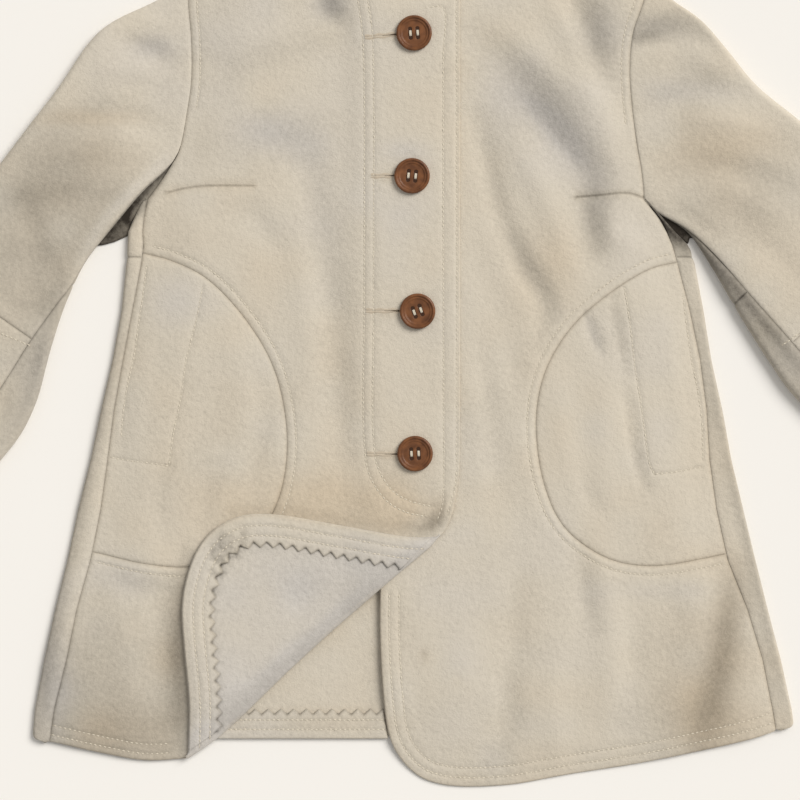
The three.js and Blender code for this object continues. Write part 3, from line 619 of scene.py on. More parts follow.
# Soft patches as x, y, half width, half height, shade and tan: most are painted shade, a few are real stains.
TONES = tones_of(
    # The sleeve to the left of the sheet and the side of the chest beside it: painted shade where the sleeve
    # lies away from the lamp, in hollows of the chest and at the neck.
    (62, 170, 70, 60, 0.21, 0.25), (20, 255, 60, 80, 0.25, 0.15), (95, 150, 60, 24, 0.08, 0.3),
    (84, 118, 62, 9, 0.03, 0.6), (150, 46, 26, 13, 0.05, -0.6), (130, 80, 50, 40, 0.05, 0),
    (12, 372, 30, 40, 0.05, 0.1), (205, 150, 16, 60, -0.02, 0.1), (270, 132, 42, 24, 0.16, -0.95),
    (404, 152, 22, 12, 0.06, -0.7), (404, 212, 24, 20, 0.02, -0.35), (268, 218, 36, 36, 0, -0.35),
    (310, 150, 30, 26, 0.05, -0.5), (320, 210, 20, 60, 0.04, -0.3), (331, 6, 20, 15, 0.18, -0.4),
    (225, 50, 40, 40, 0.02, -0.3), (175, 300, 36, 36, 0.02, -0.5), (250, 300, 24, 70, 0, 0.1),
    # Warmer, darker cloth above the turned-back corner, and painted shade on the hem beside it and left of
    # the under front's edge.
    (340, 496, 105, 26, 0.06, 0.8), (400, 512, 50, 18, 0.08, 0.8), (437, 521, 11, 8, 0.1, 0),
    (116, 694, 74, 80, 0.2, 0.35), (118, 738, 80, 30, 0.2, 0.55), (54, 690, 22, 80, 0.15, -0.8),
    (125, 580, 50, 18, 0.03, -0.5), (300, 582, 60, 34, 0.06, -0.4), (190, 300, 40, 30, -0.02, -0.5),
    (310, 724, 80, 13, 0.09, 0.5), (374, 680, 9, 70, 0.1, 0),
    # The left front below the pocket panel, with its stain, ring and specks, and painted shade in the trough
    # towards the hem at its right.
    (424.5, 654, 3.8, 5, 0.27, 0.25), (428, 658, 9, 8, 0.03, 0.15), (457, 681, 5, 5, 0.03, 0.2),
    (460, 624, 2, 2, 0.14, 0.4), (470, 781, 60, 10, 0.07, 0.4), (702, 722, 42, 44, 0.2, 0.5),
    (726, 650, 16, 60, 0.09, 0.15), (735, 620, 20, 50, 0.06, 0.2), (706, 655, 40, 80, 0.15, 0.3),
    (660, 590, 60, 12, 0.02, -0.4), (560, 640, 50, 50, 0.02, -0.3),
    # The chest of the left front and the sleeve beside it, with painted shade in their folds.
    (535, 106, 50, 46, 0.07, -0.4), (590, 205, 17, 38, 0.11, -0.1), (500, 250, 40, 50, 0, 0.1),
    (560, 250, 24, 40, 0.02, 0.4), (602, 24, 22, 44, 0.09, -0.5), (658, 26, 28, 14, 0.16, -0.4),
    (690, 92, 50, 14, 0.03, -0.7), (725, 150, 80, 26, 0.06, 0.6), (760, 200, 50, 40, 0.17, 0.1),
    (660, 130, 24, 60, 0.03, -0.1), (600, 430, 50, 60, -0.1, 0.1), (520, 345, 30, 40, 0, -0.2),
    (205, 420, 70, 110, 0.05, 0.1), (203, 742, 24, 26, -0.2, -0.9), (222, 545, 14, 14, 0.05, -0.3),
    # Darker and warmer round the buttonholes.
    (390, 37, 13, 4, 0.13, 0.5), (388, 178, 13, 4, 0.13, 0.5), (392, 313, 13, 4, 0.13, 0.5),
    (390, 455, 13, 4, 0.13, 0.5),
)


# How far the folds stray from their drawn lines, and the uneven shade and tan of the nap.
FOLD_SWAY = 3.2
SHADE_DRIFT = ((0.018, 60, 11), (0.018, 24, 12), (0.014, 9, 15))
TAN_DRIFT = ((0.26, 90, 13), (0.22, 33, 14))


def fold_height(points: Array, folds: Sequence[Fold]) -> Array:
    """The folds' summed height at each grid point, in mm.

    Args:
        points: Grid points.
        folds: The folds to add up.

    Returns:
        The heights.
    """
    x, y = points[:, 0], points[:, 1]
    bent = points + FOLD_SWAY * np.stack([wander(x, y, 46, 5), wander(x, y, 46, 6)], axis=1)
    return sum((f.rise * f.weight(bent) for f in folds), np.zeros(len(points)))


def tone_of(points: Array, folds: Sequence[Fold]) -> tuple[Array, Array]:
    """How dark and how tan the nap's colour is at each grid point: painted shade from the folds and patches,
    real stains among the patches, and random unevenness.

    Args:
        points: Grid points.
        folds: The folds that shade this piece.

    Returns:
        The shade from 0 to 1 and the tan from -1 to 1.
    """
    x, y = points[:, 0], points[:, 1]
    shade, warm = np.zeros(len(points)), np.zeros(len(points))
    for fold in folds:
        if fold.shade or fold.tan:
            weight = fold.weight(points)
            shade += fold.shade * weight
            warm += fold.tan * weight
    shade += sum((t.shade * t.weight(x, y) for t in TONES), np.zeros(len(points)))
    tan = sum((t.tan * t.weight(x, y) for t in TONES), warm)
    shade += drift(x, y, *SHADE_DRIFT)
    tan += drift(x, y, *TAN_DRIFT)
    return shade, np.clip(tan, -1.0, 1.0)


# Samples all along the armholes and the side seams.
SIDES = np.vstack(
    [
        curve(ARMHOLE_L),
        curve(ARMHOLE_R),
        side_line(SEAM_L, UNDERARM, BACK_HEM),
        side_line(SEAM_R, UNDERARM, BACK_HEM_RIGHT),
    ]
)


def front_under(x: Array, y: Array) -> Array:
    """Underside of the front that lies next to the back, in mm.

    Args:
        x: Grid x.
        y: Grid y.

    Returns:
        The height at each point.
    """
    points = np.stack([x, y], axis=1)
    rest = LAYER * (1 - np.clip((y - 743) / 30, 0, 1))
    away = nearest(points, SIDES)
    sides, edge = smooth(0, 60, away), smooth(0, 30, away)
    ends = smooth(-60, 20, y) * smooth(-20, 60, 742 - y)
    waves = drift(x, y, (0.7, 70, 21), (0.3, 30, 22))
    full = 3.0 * sides * ends + (1.0 + waves) * np.minimum(1.0, 0.25 + sides * ends) * edge
    lift = full + (0.12 + 0.88 * edge) * fold_height(points, FRONT_FOLDS)
    return rest + soft_floor(lift, 0.1) - 0.4 * (1 - edge)


def lap_under(x: Array, y: Array) -> Array:
    """Underside of the front that laps over the other one."""
    return front_under(x, y) + (LAYER + 0.5) * smooth(336, 378, x)


def flap_under(x: Array, y: Array) -> Array:
    """Underside of the turned-back corner, which springs up a little at its rounded corner.

    Args:
        x: Grid x.
        y: Grid y.

    Returns:
        The height at each point in mm.
    """
    points = np.stack([x, y], axis=1)
    left = bell(x - 196, 34) * smooth(520, 570, y) * smooth(764, 690, y)
    top = bell(y - 520, 16) * smooth(450, 400, x) * 0.8
    open_up = smooth(-4, 26, np.hypot(x - FOLD_TIP[0], y - FOLD_TIP[1]))
    lift = (LAYER + 0.1 + top) * open_up
    return lap_under(x, y) + 0.4 + lift + 1.2 * left + 0.6 * fold_height(points, FLAP_FOLDS)


def facing_under(x: Array, y: Array) -> Array:
    """Underside of the facing on the turned-back corner."""
    return flap_under(x, y) + CLOTH + 0.05


class Nodes:
    """The nodes of one new material, and short ways to add to them."""

    def __init__(self, name: str, **settings: float | tuple[float, ...]) -> None:
        """Makes the material and sets its shader's sockets.

        Args:
            name: The material's name.
            settings: Value of each socket, named with _ for each space.
        """
        self.material = bpy.data.materials.new(name)
        self.material.use_nodes = True
        self.tree = self.material.node_tree
        self.shader = self.tree.nodes["Principled BSDF"]
        for socket, value in settings.items():
            self.shader.inputs[socket.replace("_", " ")].default_value = value

    def _feed(self, socket: Socket, value: Feed) -> None:
        """Links an output to a socket, or sets the socket to a number or colour.

        Args:
            socket: The socket to feed.
            value: An output, a number or a colour.
        """
        if isinstance(value, Socket):
            self.tree.links.new(value, socket)
        else:
            socket.default_value = value if isinstance(value, float) else (*value, 1.0)

    def shine(self, socket: str, value: Socket) -> None:
        """Links an output to a socket of the shader."""
        self.tree.links.new(value, self.shader.inputs[socket])

    def vertex(self, name: str) -> Socket:
        """Reads a value that the mesh stores at each vertex.

        Args:
            name: The value's name.

        Returns:
            The value.
        """
        node = self.tree.nodes.new("ShaderNodeAttribute")
        node.attribute_name = name
        return node.outputs["Fac"]

    def noise(self, scale: float, detail: float, rough: float = 0.5) -> Socket:
        """Adds noise through the solid.

        Args:
            scale: Bumps to the metre.
            detail: Octaves of finer noise.
            rough: Strength of the finer noise.

        Returns:
            The noise, from 0 to 1.
        """
        node, place = self.tree.nodes.new("ShaderNodeTexNoise"), self.tree.nodes.new("ShaderNodeTexCoord")
        for socket, value in (("Scale", scale), ("Detail", detail), ("Roughness", rough)):
            node.inputs[socket].default_value = value
        self.tree.links.new(place.outputs["Object"], node.inputs["Vector"])
        return node.outputs["Fac"]

    def mix(self, factor: Feed, first: Feed, second: Feed) -> Socket:
        """Mixes two colours.

        Args:
            factor: Share of the second colour.
            first: The first colour.
            second: The second colour.

        Returns:
            The mixed colour.
        """
        node = self.tree.nodes.new("ShaderNodeMix")
        node.data_type = "RGBA"
        for name, kind, value in (("Factor", "VALUE", factor), ("A", "RGBA", first), ("B", "RGBA", second)):
            self._feed(next(s for s in node.inputs if s.name == name and s.type == kind), value)
        return next(s for s in node.outputs if s.type == "RGBA")

    def maths(self, kind: str, first: Feed, second: Feed) -> Socket:
        """Works out a sum of two values.

        Args:
            kind: What to do with them, such as ADD.
            first: The first value.
            second: The second value.

        Returns:
            The result.
        """
        node = self.tree.nodes.new("ShaderNodeMath")
        node.operation = kind
        for socket, value in zip(node.inputs, (first, second)):
            self._feed(socket, value)
        return node.outputs["Value"]

    def bump(self, height: Socket, strength: float, depth: float) -> None:
        """Roughens the surface.

        Args:
            height: The height to follow.
            strength: How strongly, from 0 to 1.
            depth: Full depth in metres.
        """
        node = self.tree.nodes.new("ShaderNodeBump")
        node.inputs["Strength"].default_value = strength
        node.inputs["Distance"].default_value = depth
        self.tree.links.new(height, node.inputs["Height"])
        self.shine("Normal", node.outputs["Normal"])


@dataclass(frozen=True)
class Wool:
    """Cream wool cloth with a soft nap, with painted shade in its folds, seams and hollows, tan where it is
    soiled or where that painted shade is warm, and grey where it is cool.
    """

    name: str = "cream_wool"
    base: Colour = (0.66, 0.60, 0.50)
    # Dark colour that the painted shade, together with the nap's random mottle and flecks, mixes towards.
    shaded: Colour = (0.030, 0.024, 0.018)
    # Tan warms the colour for real stains and for warm painted shade; cool greys it, mostly where the painted
    # shade is cool.
    tan: Colour = (0.66, 0.56, 0.425)
    cool: Colour = (0.625, 0.59, 0.545)
    sheen_tint: tuple[float, ...] = (1.0, 0.97, 0.92, 1.0)
    roughness: float = 0.92
    sheen: float = 0.22
    specular: float = 0.12
    nap: float = 0.85
    nap_depth: float = 0.0009
    mottle: float = 0.34
    flecks: float = 0.30

    def make(self) -> Material:
        """Builds the cloth material.

        Returns:
            The material.
        """
        nodes = Nodes(
            self.name,
            Roughness=self.roughness,
            Sheen_Weight=self.sheen,
            Sheen_Roughness=0.5,
            Sheen_Tint=self.sheen_tint,
            Specular_IOR_Level=self.specular,
        )
        maths, tan = nodes.maths, nodes.vertex("tan")
        warm = maths("MAXIMUM", tan, 0.0)
        grey = maths("MAXIMUM", maths("MULTIPLY", tan, -1.0), 0.0)
        colour = nodes.mix(grey, nodes.mix(warm, self.base, self.tan), self.cool)
        mottle = maths("MULTIPLY", maths("SUBTRACT", nodes.noise(260.0, 3.0, 0.6), 0.5), self.mottle)
        flecks = maths("MULTIPLY", maths("SUBTRACT", nodes.noise(1500.0, 2.0, 0.7), 0.5), self.flecks)
        # The shade attribute is painted shade of folds, seams and hollows, added to the nap's random mottle
        # and flecks.
        dark = maths("ADD", maths("ADD", nodes.vertex("shade"), mottle), flecks)
        nodes.shine("Base Color", nodes.mix(maths("MAXIMUM", dark, 0.0), colour, self.shaded))
        fibre, clumps = nodes.noise(900.0, 4.0, 0.75), nodes.noise(210.0, 3.0, 0.6)
        nodes.bump(maths("ADD", maths("MULTIPLY", fibre, 0.5), clumps), self.nap, self.nap_depth)
        return nodes.material


@dataclass(frozen=True)
class Plain:
    """A plain finish: thread, plastic or floor, with an uneven second colour where it has one."""

    name: str
    colour: Colour
    roughness: float
    mottle: Colour | None = None
    scale: float = 60.0
    coat: float = 0.0
    sheen: float = 0.0
    coat_roughness: float = 0.18
    specular: float = 0.3

    def make(self) -> Material:
        """Builds the material.

        Returns:
            The material.
        """
        nodes = Nodes(
            self.name,
            Base_Color=(*self.colour, 1.0),
            Roughness=self.roughness,
            Coat_Weight=self.coat,
            Coat_Roughness=self.coat_roughness,
            Specular_IOR_Level=self.specular,
            Sheen_Weight=self.sheen,
        )
        if self.mottle is not None:
            ramp = nodes.tree.nodes.new("ShaderNodeValToRGB")
            stops = ((0.32, self.mottle), (0.68, self.colour))
            for element, (at, colour) in zip(ramp.color_ramp.elements, stops):
                element.position = at
                element.color = (*colour, 1.0)
            nodes.tree.links.new(nodes.noise(self.scale, 5.0), ramp.inputs["Fac"])
            nodes.shine("Base Color", ramp.outputs["Color"])
        return nodes.material


@dataclass
class Finishes:
    """All finishes of the coat, made once."""

    wool: Material = field(init=False)
    thread: Material = field(init=False)
    needle_hole_shade: Material = field(init=False)
    cord: Material = field(init=False)
    slit: Material = field(init=False)
    hollow: Material = field(init=False)
    plastic: Material = field(init=False)

    def __post_init__(self) -> None:
        """Makes each finish."""
        self.wool = Wool().make()
        self.thread = Plain("cream_thread", (0.69, 0.63, 0.515), 0.75, sheen=0.2).make()
        # Painted shade in the needle holes between stitches.
        self.needle_hole_shade = Plain("needle_hole_painted_shade", (0.46, 0.405, 0.315), 0.95).make()
        self.cord = Plain("buttonhole_cord", (0.565, 0.485, 0.38), 0.9).make()
        # Painted shade in the buttonhole slits.
        self.slit = Plain("buttonhole_slit_painted_shade", (0.075, 0.05, 0.03), 0.9).make()
        # Painted shade in the hollow between each pair of button holes.
        self.hollow = Plain("button_hollow_painted_shade", (0.045, 0.018, 0.008), 0.8).make()
        brown, dark = (0.215, 0.082, 0.028), (0.105, 0.038, 0.013)
        self.plastic = Plain("brown_button", brown, 0.42, dark, 130.0, coat=0.12).make()


def shell(
    name: str,
    outer: Array,
    inner: Array,
    faces: Array,
    rim: Array,
    tone: tuple[Array, Array],
    crisp: Array | None = None,
) -> Thing:
    """Makes a closed cloth mesh from an outer and an inner skin that share their corners.

    Args:
        name: The object's name.
        outer: Outer points in mm.
        inner: Inner points in mm.
        faces: Triangles of the outer skin, seen anticlockwise from outside.
        rim: Point numbers round the rim, with the cloth on their left.
        tone: Shade and tan of each point.
        crisp: True at each rim point where the skin runs on into its neighbour without a rounded rim.

    Returns:
        The new object.
    """
    count = len(outer)
    after = np.roll(rim, -1)
    walls = ((rim, rim + count, after + count), (rim, after + count, after))
    tris = np.vstack([faces, faces[:, ::-1] + count, *(np.stack(corners, axis=1) for corners in walls)])
    thing = solid(name, np.vstack([outer, inner]), tris, tuple(np.concatenate([t, t]) for t in tone))
    if crisp is not None:
        keep = crisp & np.roll(crisp, -1)
        mesh = thing.data
        ends = np.empty(2 * len(mesh.edges), np.int32)
        mesh.edges.foreach_get("vertices", ends)
        pairs = np.sort(np.stack([rim[keep], after[keep]], axis=1), axis=1)
        ends = np.sort(ends.reshape(-1, 2), axis=1)
        keys = (rows[:, 0].astype(np.int64) * len(mesh.vertices) + rows[:, 1] for rows in (ends, pairs))
        mesh.edges.foreach_set("use_edge_sharp", np.isin(*keys))
    return thing


def solid(name: str, points: Array, tris: Array, tone: tuple[Array, Array] | None = None) -> Thing:
    """Makes a mesh object from points in mm and triangles.

    Args:
        name: The object's name.
        points: The points in mm.
        tris: The triangles.
        tone: Shade and tan of each point, for cloth.

    Returns:
        The new object, smooth shaded.
    """
    mesh = bpy.data.meshes.new(name)
    mesh.vertices.add(len(points))
    mesh.vertices.foreach_set("co", np.asarray(points * MM, np.float32).ravel())
    mesh.loops.add(3 * len(tris))
    mesh.loops.foreach_set("vertex_index", np.asarray(tris, np.int32).ravel())
    mesh.polygons.add(len(tris))
    mesh.polygons.foreach_set("loop_start", np.arange(0, 3 * len(tris), 3, dtype=np.int32))
    mesh.update(calc_edges=True)
    mesh.validate()
    mesh.polygons.foreach_set("use_smooth", np.ones(len(mesh.polygons), bool))
    if tone is not None:
        for label, values in zip(("shade", "tan"), tone):
            layer = mesh.attributes.new(label, "FLOAT", "POINT")
            layer.data.foreach_set("value", np.asarray(values, np.float32))
    thing = bpy.data.objects.new(name, mesh)
    bpy.context.scene.collection.objects.link(thing)
    return thing


def rim_profile(gap: Array, free: Array | float) -> Array:
    """How far a cloth's face rolls down towards its rim.

    Args:
        gap: Distance from the rim in mm.
        free: 1 where the rim is a turned edge, 0 where it is sewn into a seam.

    Returns:
        The drop in mm.
    """
    seam = 0.75 * bell(gap, 1.2, 1.4) + 0.35 * bell(gap, 4.5)
    near = np.clip(1 - gap / 1.5, 0.0, 1.0)
    edge = 1.1 * (1 - np.sqrt(np.maximum(0.0, 1 - near**2))) + 0.55 * bell(gap, 4.0, 1.5)
    return seam * (1 - free) + edge * free


@dataclass
class Panel:
    """A cut piece of cloth laid over a height: its outline, underside and rows of stitching."""

    name: str
    outline: Array
    under: Height
    pattern: Pattern
    folds: tuple[Fold, ...] = ()
    grooves: Rows = ()
    seams: Rows = ()
    runs_on: Array | None = None
    darts: Rows = ()
    # Pinked edges, each with the strength of the painted shadow along it.
    marks: tuple[tuple[Array, Array], ...] = ()
    tint: float = 0.0
    thick: float = CLOTH
    step: float = 5.2
    groove_depth: float = 0.45
    # Painted shade over the whole piece, as on the cloth sunk in the armpit.
    shade: float = 0.0

    def build(self) -> Thing:
        """Cuts the piece and drapes it over its height.

        Returns:
            The cloth object.
        """
        loop = self.pattern.place(self.outline)
        x, y = loop[:, 0], loop[:, 1]
        if np.sum(x * np.roll(y, -1) - np.roll(x, -1) * y) < 0:
            loop = loop[::-1]
        tangent = np.roll(loop, -1, axis=0) - np.roll(loop, 1, axis=0)
        tangent /= np.linalg.norm(tangent, axis=1, keepdims=True) + TINY
        inward = np.stack([-tangent[:, 1], tangent[:, 0]], axis=1)
        loop = loop + TOUCH / 2 * inward
        top, tris = self._mesh(loop, inward)
        rim = self._dense(loop)
        gap, which = closest(top, rim)
        sewn, open_rim = self._kinds(rim)
        free, shown = 1 - sewn[which], 1 - open_rim[which]
        gx, gy = self.pattern.unplace(top[:, 0], top[:, 1])
        grid = np.stack([gx, gy], axis=1)
        height = self.under(gx, gy) + self.thick
        grooves = [nearest(top, self.pattern.place(straight(groove, STEP / 2))) for groove in self.grooves]
        for away in grooves:
            height -= self.groove_depth * bell(away, 1.25)
            height += 0.16 * bell(away - 3.2, 1.8)
        low = height - self.thick
        height = height - shown * rim_profile(gap, free) * min(1.0, self.thick / CLOTH)
        low = np.maximum(low + 0.3 * shown * bell(gap, 1.0), 0.05)
        shade, tan = tone_of(grid, self.folds)
        # The piece's own painted shade, and warm painted shade in the seam grooves and along the rolled
        # edges; tint shifts the whole piece's tan.
        shade += self.shade + shown * np.where(free > 0.5, 0.10, 0.22) * bell(gap, 1.4)
        tan += self.tint + shown * 0.25 * bell(gap, 2.0)
        # Each dart sinks a groove, with warm painted shade along it.
        for dart in self.darts:
            away = nearest(top, self.pattern.place(straight(dart, STEP / 3)))
            height -= 0.45 * bell(away, 0.7) + 0.35 * bell(away, 3.0)
            shade += 0.40 * bell(away, 1.3)
            tan += 0.40 * bell(away, 2.0)
        # Painted shadow along each pinked edge.
        for line, strength in self.marks:
            away, at = closest(top, self.pattern.place(line))
            shade += strength[at] * bell(away, 1.5)
        # Painted shade along the stitch grooves.
        for away in grooves:
            shade += 0.05 * bell(away, 1.5)
        crisp = nearest(loop, rim[open_rim > 0]) < 1.0 if open_rim.any() else None
        outer, inner = np.column_stack([top, height]), np.column_stack([top, low])
        return shell(self.name, outer, inner, tris, np.arange(len(loop)), (shade, tan), crisp)

    def _kinds(self, rim: Array) -> tuple[Array, Array]:
        """Sorts the rim into sewn, free and running on into a fold.

        Args:
            rim: The rim's samples in mm.

        Returns:
            1 where the rim is sewn, and 1 where it runs on.
        """
        sewn, open_rim = np.zeros(len(rim)), np.zeros(len(rim))
        joints = [(sewn, seam) for seam in self.seams]
        if self.runs_on is not None:
            joints.append((open_rim, self.runs_on))
        for kind, line in joints:
            kind[nearest(rim, self.pattern.place(straight(line, 0.9))) < 1.4] = 1.0
        return sewn, open_rim

    def _dense(self, loop: Array) -> Array:
        """The rim at a finer step, to measure distances from."""
        between = (loop + np.roll(loop, -1, axis=0)) / 2
        return np.vstack([loop, between])

    def _guides(self) -> list[Array]:
        """Rows of points beside each groove, dart and mark, where the mesh has to be finer.

        Returns:
            The rows in mm.
        """
        darts = (*self.darts, *(line for line, _ in self.marks))
        kinds = (
            (self.grooves, STEP, (-2.4, -1.2, 0.0, 1.2, 2.4)),
            (darts, STEP / 2, (-1.7, -0.8, 0.0, 0.8, 1.7)),
        )
        return [
            offset(self.pattern.place(straight(line, step)), away)
            for lines, step, rows in kinds
            for line in lines
            for away in rows
        ]

    def _mesh(self, loop: Array, inward: Array) -> tuple[Array, Array]:
        """Fills the outline with triangles, finer at the rim and the stitching.

        Args:
            loop: The outline in mm, anticlockwise.
            inward: Unit direction into the cloth at each point.

        Returns:
            The points, with the rim first, and the triangles.
        """
        dense = self._dense(loop)
        chosen = [loop]
        for away in RIM_ROWS:
            ring = loop + away * inward
            chosen.append(ring[nearest(ring, dense) > 0.9 * away])
        guides = self._guides()
        if guides:
            lines = np.vstack(guides)
            lines = lines[inside(lines, loop)]
            chosen.append(lines[nearest(lines, dense) > 2.6])
        low, high = loop.min(0), loop.max(0)
        hexes = []
        for k, y in enumerate(np.arange(low[1], high[1], self.step * 0.866)):
            xs = np.arange(low[0] + (k % 2) * self.step / 2, high[0], self.step)
            hexes.append(np.column_stack([xs, np.full_like(xs, y)]))
        fill = np.vstack(hexes)
        fill = fill + 0.25 * np.random.default_rng(4).uniform(-1, 1, fill.shape)
        fill = fill[nearest(fill, dense) > 8.0]
        if guides and len(fill):
            fill = fill[nearest(fill, np.vstack(guides)) > 3.4]
        chosen.append(fill)
        filling = np.vstack(chosen[1:])
        points = np.vstack([loop, filling[inside(filling, loop)]])
        edges = [(k, (k + 1) % len(loop)) for k in range(len(loop))]
        verts, _, faces, origins, _, _ = delaunay_2d_cdt([Vector(p) for p in points], edges, [], 1, 1e-5)
        tris = np.array([f for f in faces if len(f) == 3])
        found = np.array([tuple(v) for v in verts])
        order = np.full(len(points), -1)
        for new, old in enumerate(origins):
            for k in old:
                order[k] = new
        if len(found) != len(points) or (order[: len(loop)] < 0).any():
            LOG.info("%s: %d points became %d", self.name, len(points), len(found))
        extra = np.setdiff1d(np.arange(len(found)), order[: len(loop)])
        final = np.concatenate([order[: len(loop)], extra])
        back = np.empty(len(found), int)
        back[final] = np.arange(len(final))
        tris = back[tris]
        a, b, c = (found[final][tris[:, k]] for k in range(3))
        turn = (b[:, 0] - a[:, 0]) * (c[:, 1] - a[:, 1]) - (b[:, 1] - a[:, 1]) * (c[:, 0] - a[:, 0])
        tris[turn < 0] = tris[turn < 0][:, ::-1]
        return found[final], tris[np.abs(turn) > 1e-6]


def graded(length: float, step: float, both: bool = True) -> Array:
    """Positions along a length, closer together at its ends.

    Args:
        length: The length in mm.
        step: The widest spacing.
        both: Grade both ends, or the first end alone.

    Returns:
        Positions from 0 to the length.
    """
    near = [d for d in (0.0, *RIM_ROWS) if d < length * 0.4]
    far = [length - d for d in reversed(near)] if both else [length]
    count = max(1, int(round((far[0] - near[-1]) / step)))
    middle = np.linspace(near[-1], far[0], count + 1)[1:-1]
    return np.array([*near, *middle, *far])


def wall(
    name: str,
    middle: Array,
    gaps: Array,
    pattern: Pattern,
    folds: Sequence[Fold],
    shade: float = 0.0,
    crisp: bool = False,
) -> Thing:
    """Makes a cloth wall from a grid of outer points, thickened inwards and rolled at its rims.

    Args:
        name: The object's name.
        middle: Outer points in mm, (rows, columns, 3), with the outside on the left of row x column.
        gaps: Distance of each point from the nearest rim in mm.
        pattern: The pattern grid.
        folds: The folds that shade it.
        shade: Painted shade over the whole wall.
        crisp: True if its rims run on into other cloth.

    Returns:
        The cloth object.
    """
    rows, columns = middle.shape[:2]
    normal = np.cross(np.gradient(middle, axis=1), np.gradient(middle, axis=0))
    normal /= np.linalg.norm(normal, axis=2, keepdims=True) + TINY
    outer = middle - normal * rim_profile(gaps, 0.0)[..., None]
    inner = middle - normal * (CLOTH - 0.25 * bell(gaps, 1.0))[..., None]
    outer[..., 2] = np.maximum(outer[..., 2], 0.02)
    number = np.arange(rows * columns).reshape(rows, columns)
    corners = (number[:-1, :-1], number[1:, :-1], number[1:, 1:], number[:-1, 1:])
    a, b, c, d = (corner.ravel() for corner in corners)
    faces = np.vstack([np.stack([a, c, b], axis=1), np.stack([a, d, c], axis=1)])
    rim = np.concatenate([number[0, :-1], number[:-1, -1], number[-1, :0:-1], number[:0:-1, 0]])
    gx, gy = pattern.unplace(outer[..., 0].ravel(), outer[..., 1].ravel())
    tone = tone_of(np.stack([gx, gy], axis=1), folds)
    # Painted shade at the rims and over the whole wall.
    tone[0][:] += 0.24 * bell(gaps.ravel(), 1.0) + shade
    return shell(name, outer.reshape(-1, 3), inner.reshape(-1, 3), faces, rim, tone, np.full(len(rim), crisp))


def joined(first: Thing, *others: Thing) -> Thing:
    """Joins objects into the first one.

    Args:
        first: The object to keep.
        others: The objects to add to it.

    Returns:
        The first object.
    """
    bpy.ops.object.select_all(action="DESELECT")
    for thing in (first, *others):
        thing.select_set(True)
    bpy.context.view_layer.objects.active = first
    bpy.ops.object.join()
    return first


@dataclass(frozen=True)
class FlatCut:
    """The cut of one piece before it was laid: width and length in metres, and its flat area."""

    width: float
    length: float
    area: float


@dataclass
class Wrap:
    """The back, which lies flat and rolls up over both sides to the side seams."""

    pattern: Pattern
    corner: float = 7.5
    seam_strip: float = 12.0
    columns: int = 60
    far: float = 60.0

    def stretch(self, name: str, start: float, end: float, hemmed: bool) -> Thing:
        """One length of the back between two levels.

        Args:
            name: The object's name.
            start: First level in grid units.
            end: Last level in grid units.
            hemmed: True where the end is the hem.

        Returns:
            The cloth object.
        """
        unit = self.pattern.unit
        shares = np.arange(1, self.columns)[:, None] / self.columns
        rows, gaps = [], []
        for y in start + graded((end - start) * unit, 6.0) / unit:
            falls = (BACK_HEM_RIGHT - BACK_HEM) * smooth(0, 1, (y - start) / (end - start)) if hemmed else 0.0
            near = 1 - min(1.0, (end - y) * unit / self.corner) if hemmed else 0.0
            cut_off = self.corner * (1 - math.sqrt(1 - near**2))
            left, left_gaps = self._side(Side.RIGHT, y, cut_off)
            right, right_gaps = self._side(Side.LEFT, y + falls, cut_off)
            rows.append(np.vstack([left, left[-1] + (right[-1] - left[-1]) * shares, right[::-1]]))
            gap = [*left_gaps, *[self.far] * len(shares), *right_gaps[::-1]]
            gaps.append(np.minimum(gap, min(abs(y - start), abs(end - y)) * unit))
        return wall(name, np.array(rows), np.array(gaps), self.pattern, WRAP_FOLDS)

    def _side(self, side: Side, level: float, cut_off: float) -> tuple[Array, list[float]]:
        """One row of one side, from its side seam out over the rolled edge and in below it.

        Args:
            side: The wearer's side.
            level: The row's level in grid units.
            cut_off: How much the rounded hem corner takes off here, in mm.

        Returns:
            The row's points in mm, and their distances from the seam.
        """
        sign = side.value
        edge_column, seam_column = (EDGE_L, SEAM_L) if side is Side.RIGHT else (EDGE_R, SEAM_R)
        edge = self.pattern.place(np.array([body(level, edge_column), level]))
        seam = self.pattern.place(np.array([body(level, seam_column), level]))
        edge[0] -= sign * cut_off
        seam[0] += sign * TOUCH / 2
        bulge = 1.0 + 0.5 * math.sin(level / 31.0) + 0.4 * math.sin(level / 13.0 + 1)
        high = 2 * ROLL + bulge * 0.8
        centre = edge[0] - sign * high / 2
        row, gaps = [], []
        for t in 1 - graded(self.seam_strip, 2.5)[::-1] / self.seam_strip:
            x = seam[0] + (centre - seam[0]) * t
            row.append((x, edge[1], LAYER + CLOTH + (high - 2 * ROLL) * smooth(0, 1, t)))
            gaps.append(abs(x - seam[0]))
        for angle in np.linspace(0, math.pi, 11)[1:-1]:
            x = centre + sign * high / 2 * math.sin(angle)
            row.append((x, edge[1], high / 2 * (1 + math.cos(angle))))
            gaps.append(abs(centre - seam[0]) + high / 2 * angle)
        row.append((centre, edge[1], 0.0))
        gaps.append(abs(centre - seam[0]) + 8.0)
        return np.array(row), gaps


@dataclass(frozen=True)
class SleeveCut:
    """Sizes of one sleeve in its own frame, down the arm from the shoulder tip and across to the underarm.

    Sections are rows of down, outer edge, seam, lower edge. The web is the cloth sunk in the armpit, darkened
    with painted shade by web_shade, and under_shade is painted shade on the under side.
    """

    tip: tuple[float, float]
    along: tuple[float, float]
    across: tuple[float, float]
    side: Side
    armhole: Line
    hidden: float
    slant: float
    elbow_upper: float
    elbow_under: float
    under_shade: float
    sections: Line
    web: Line
    web_shade: float


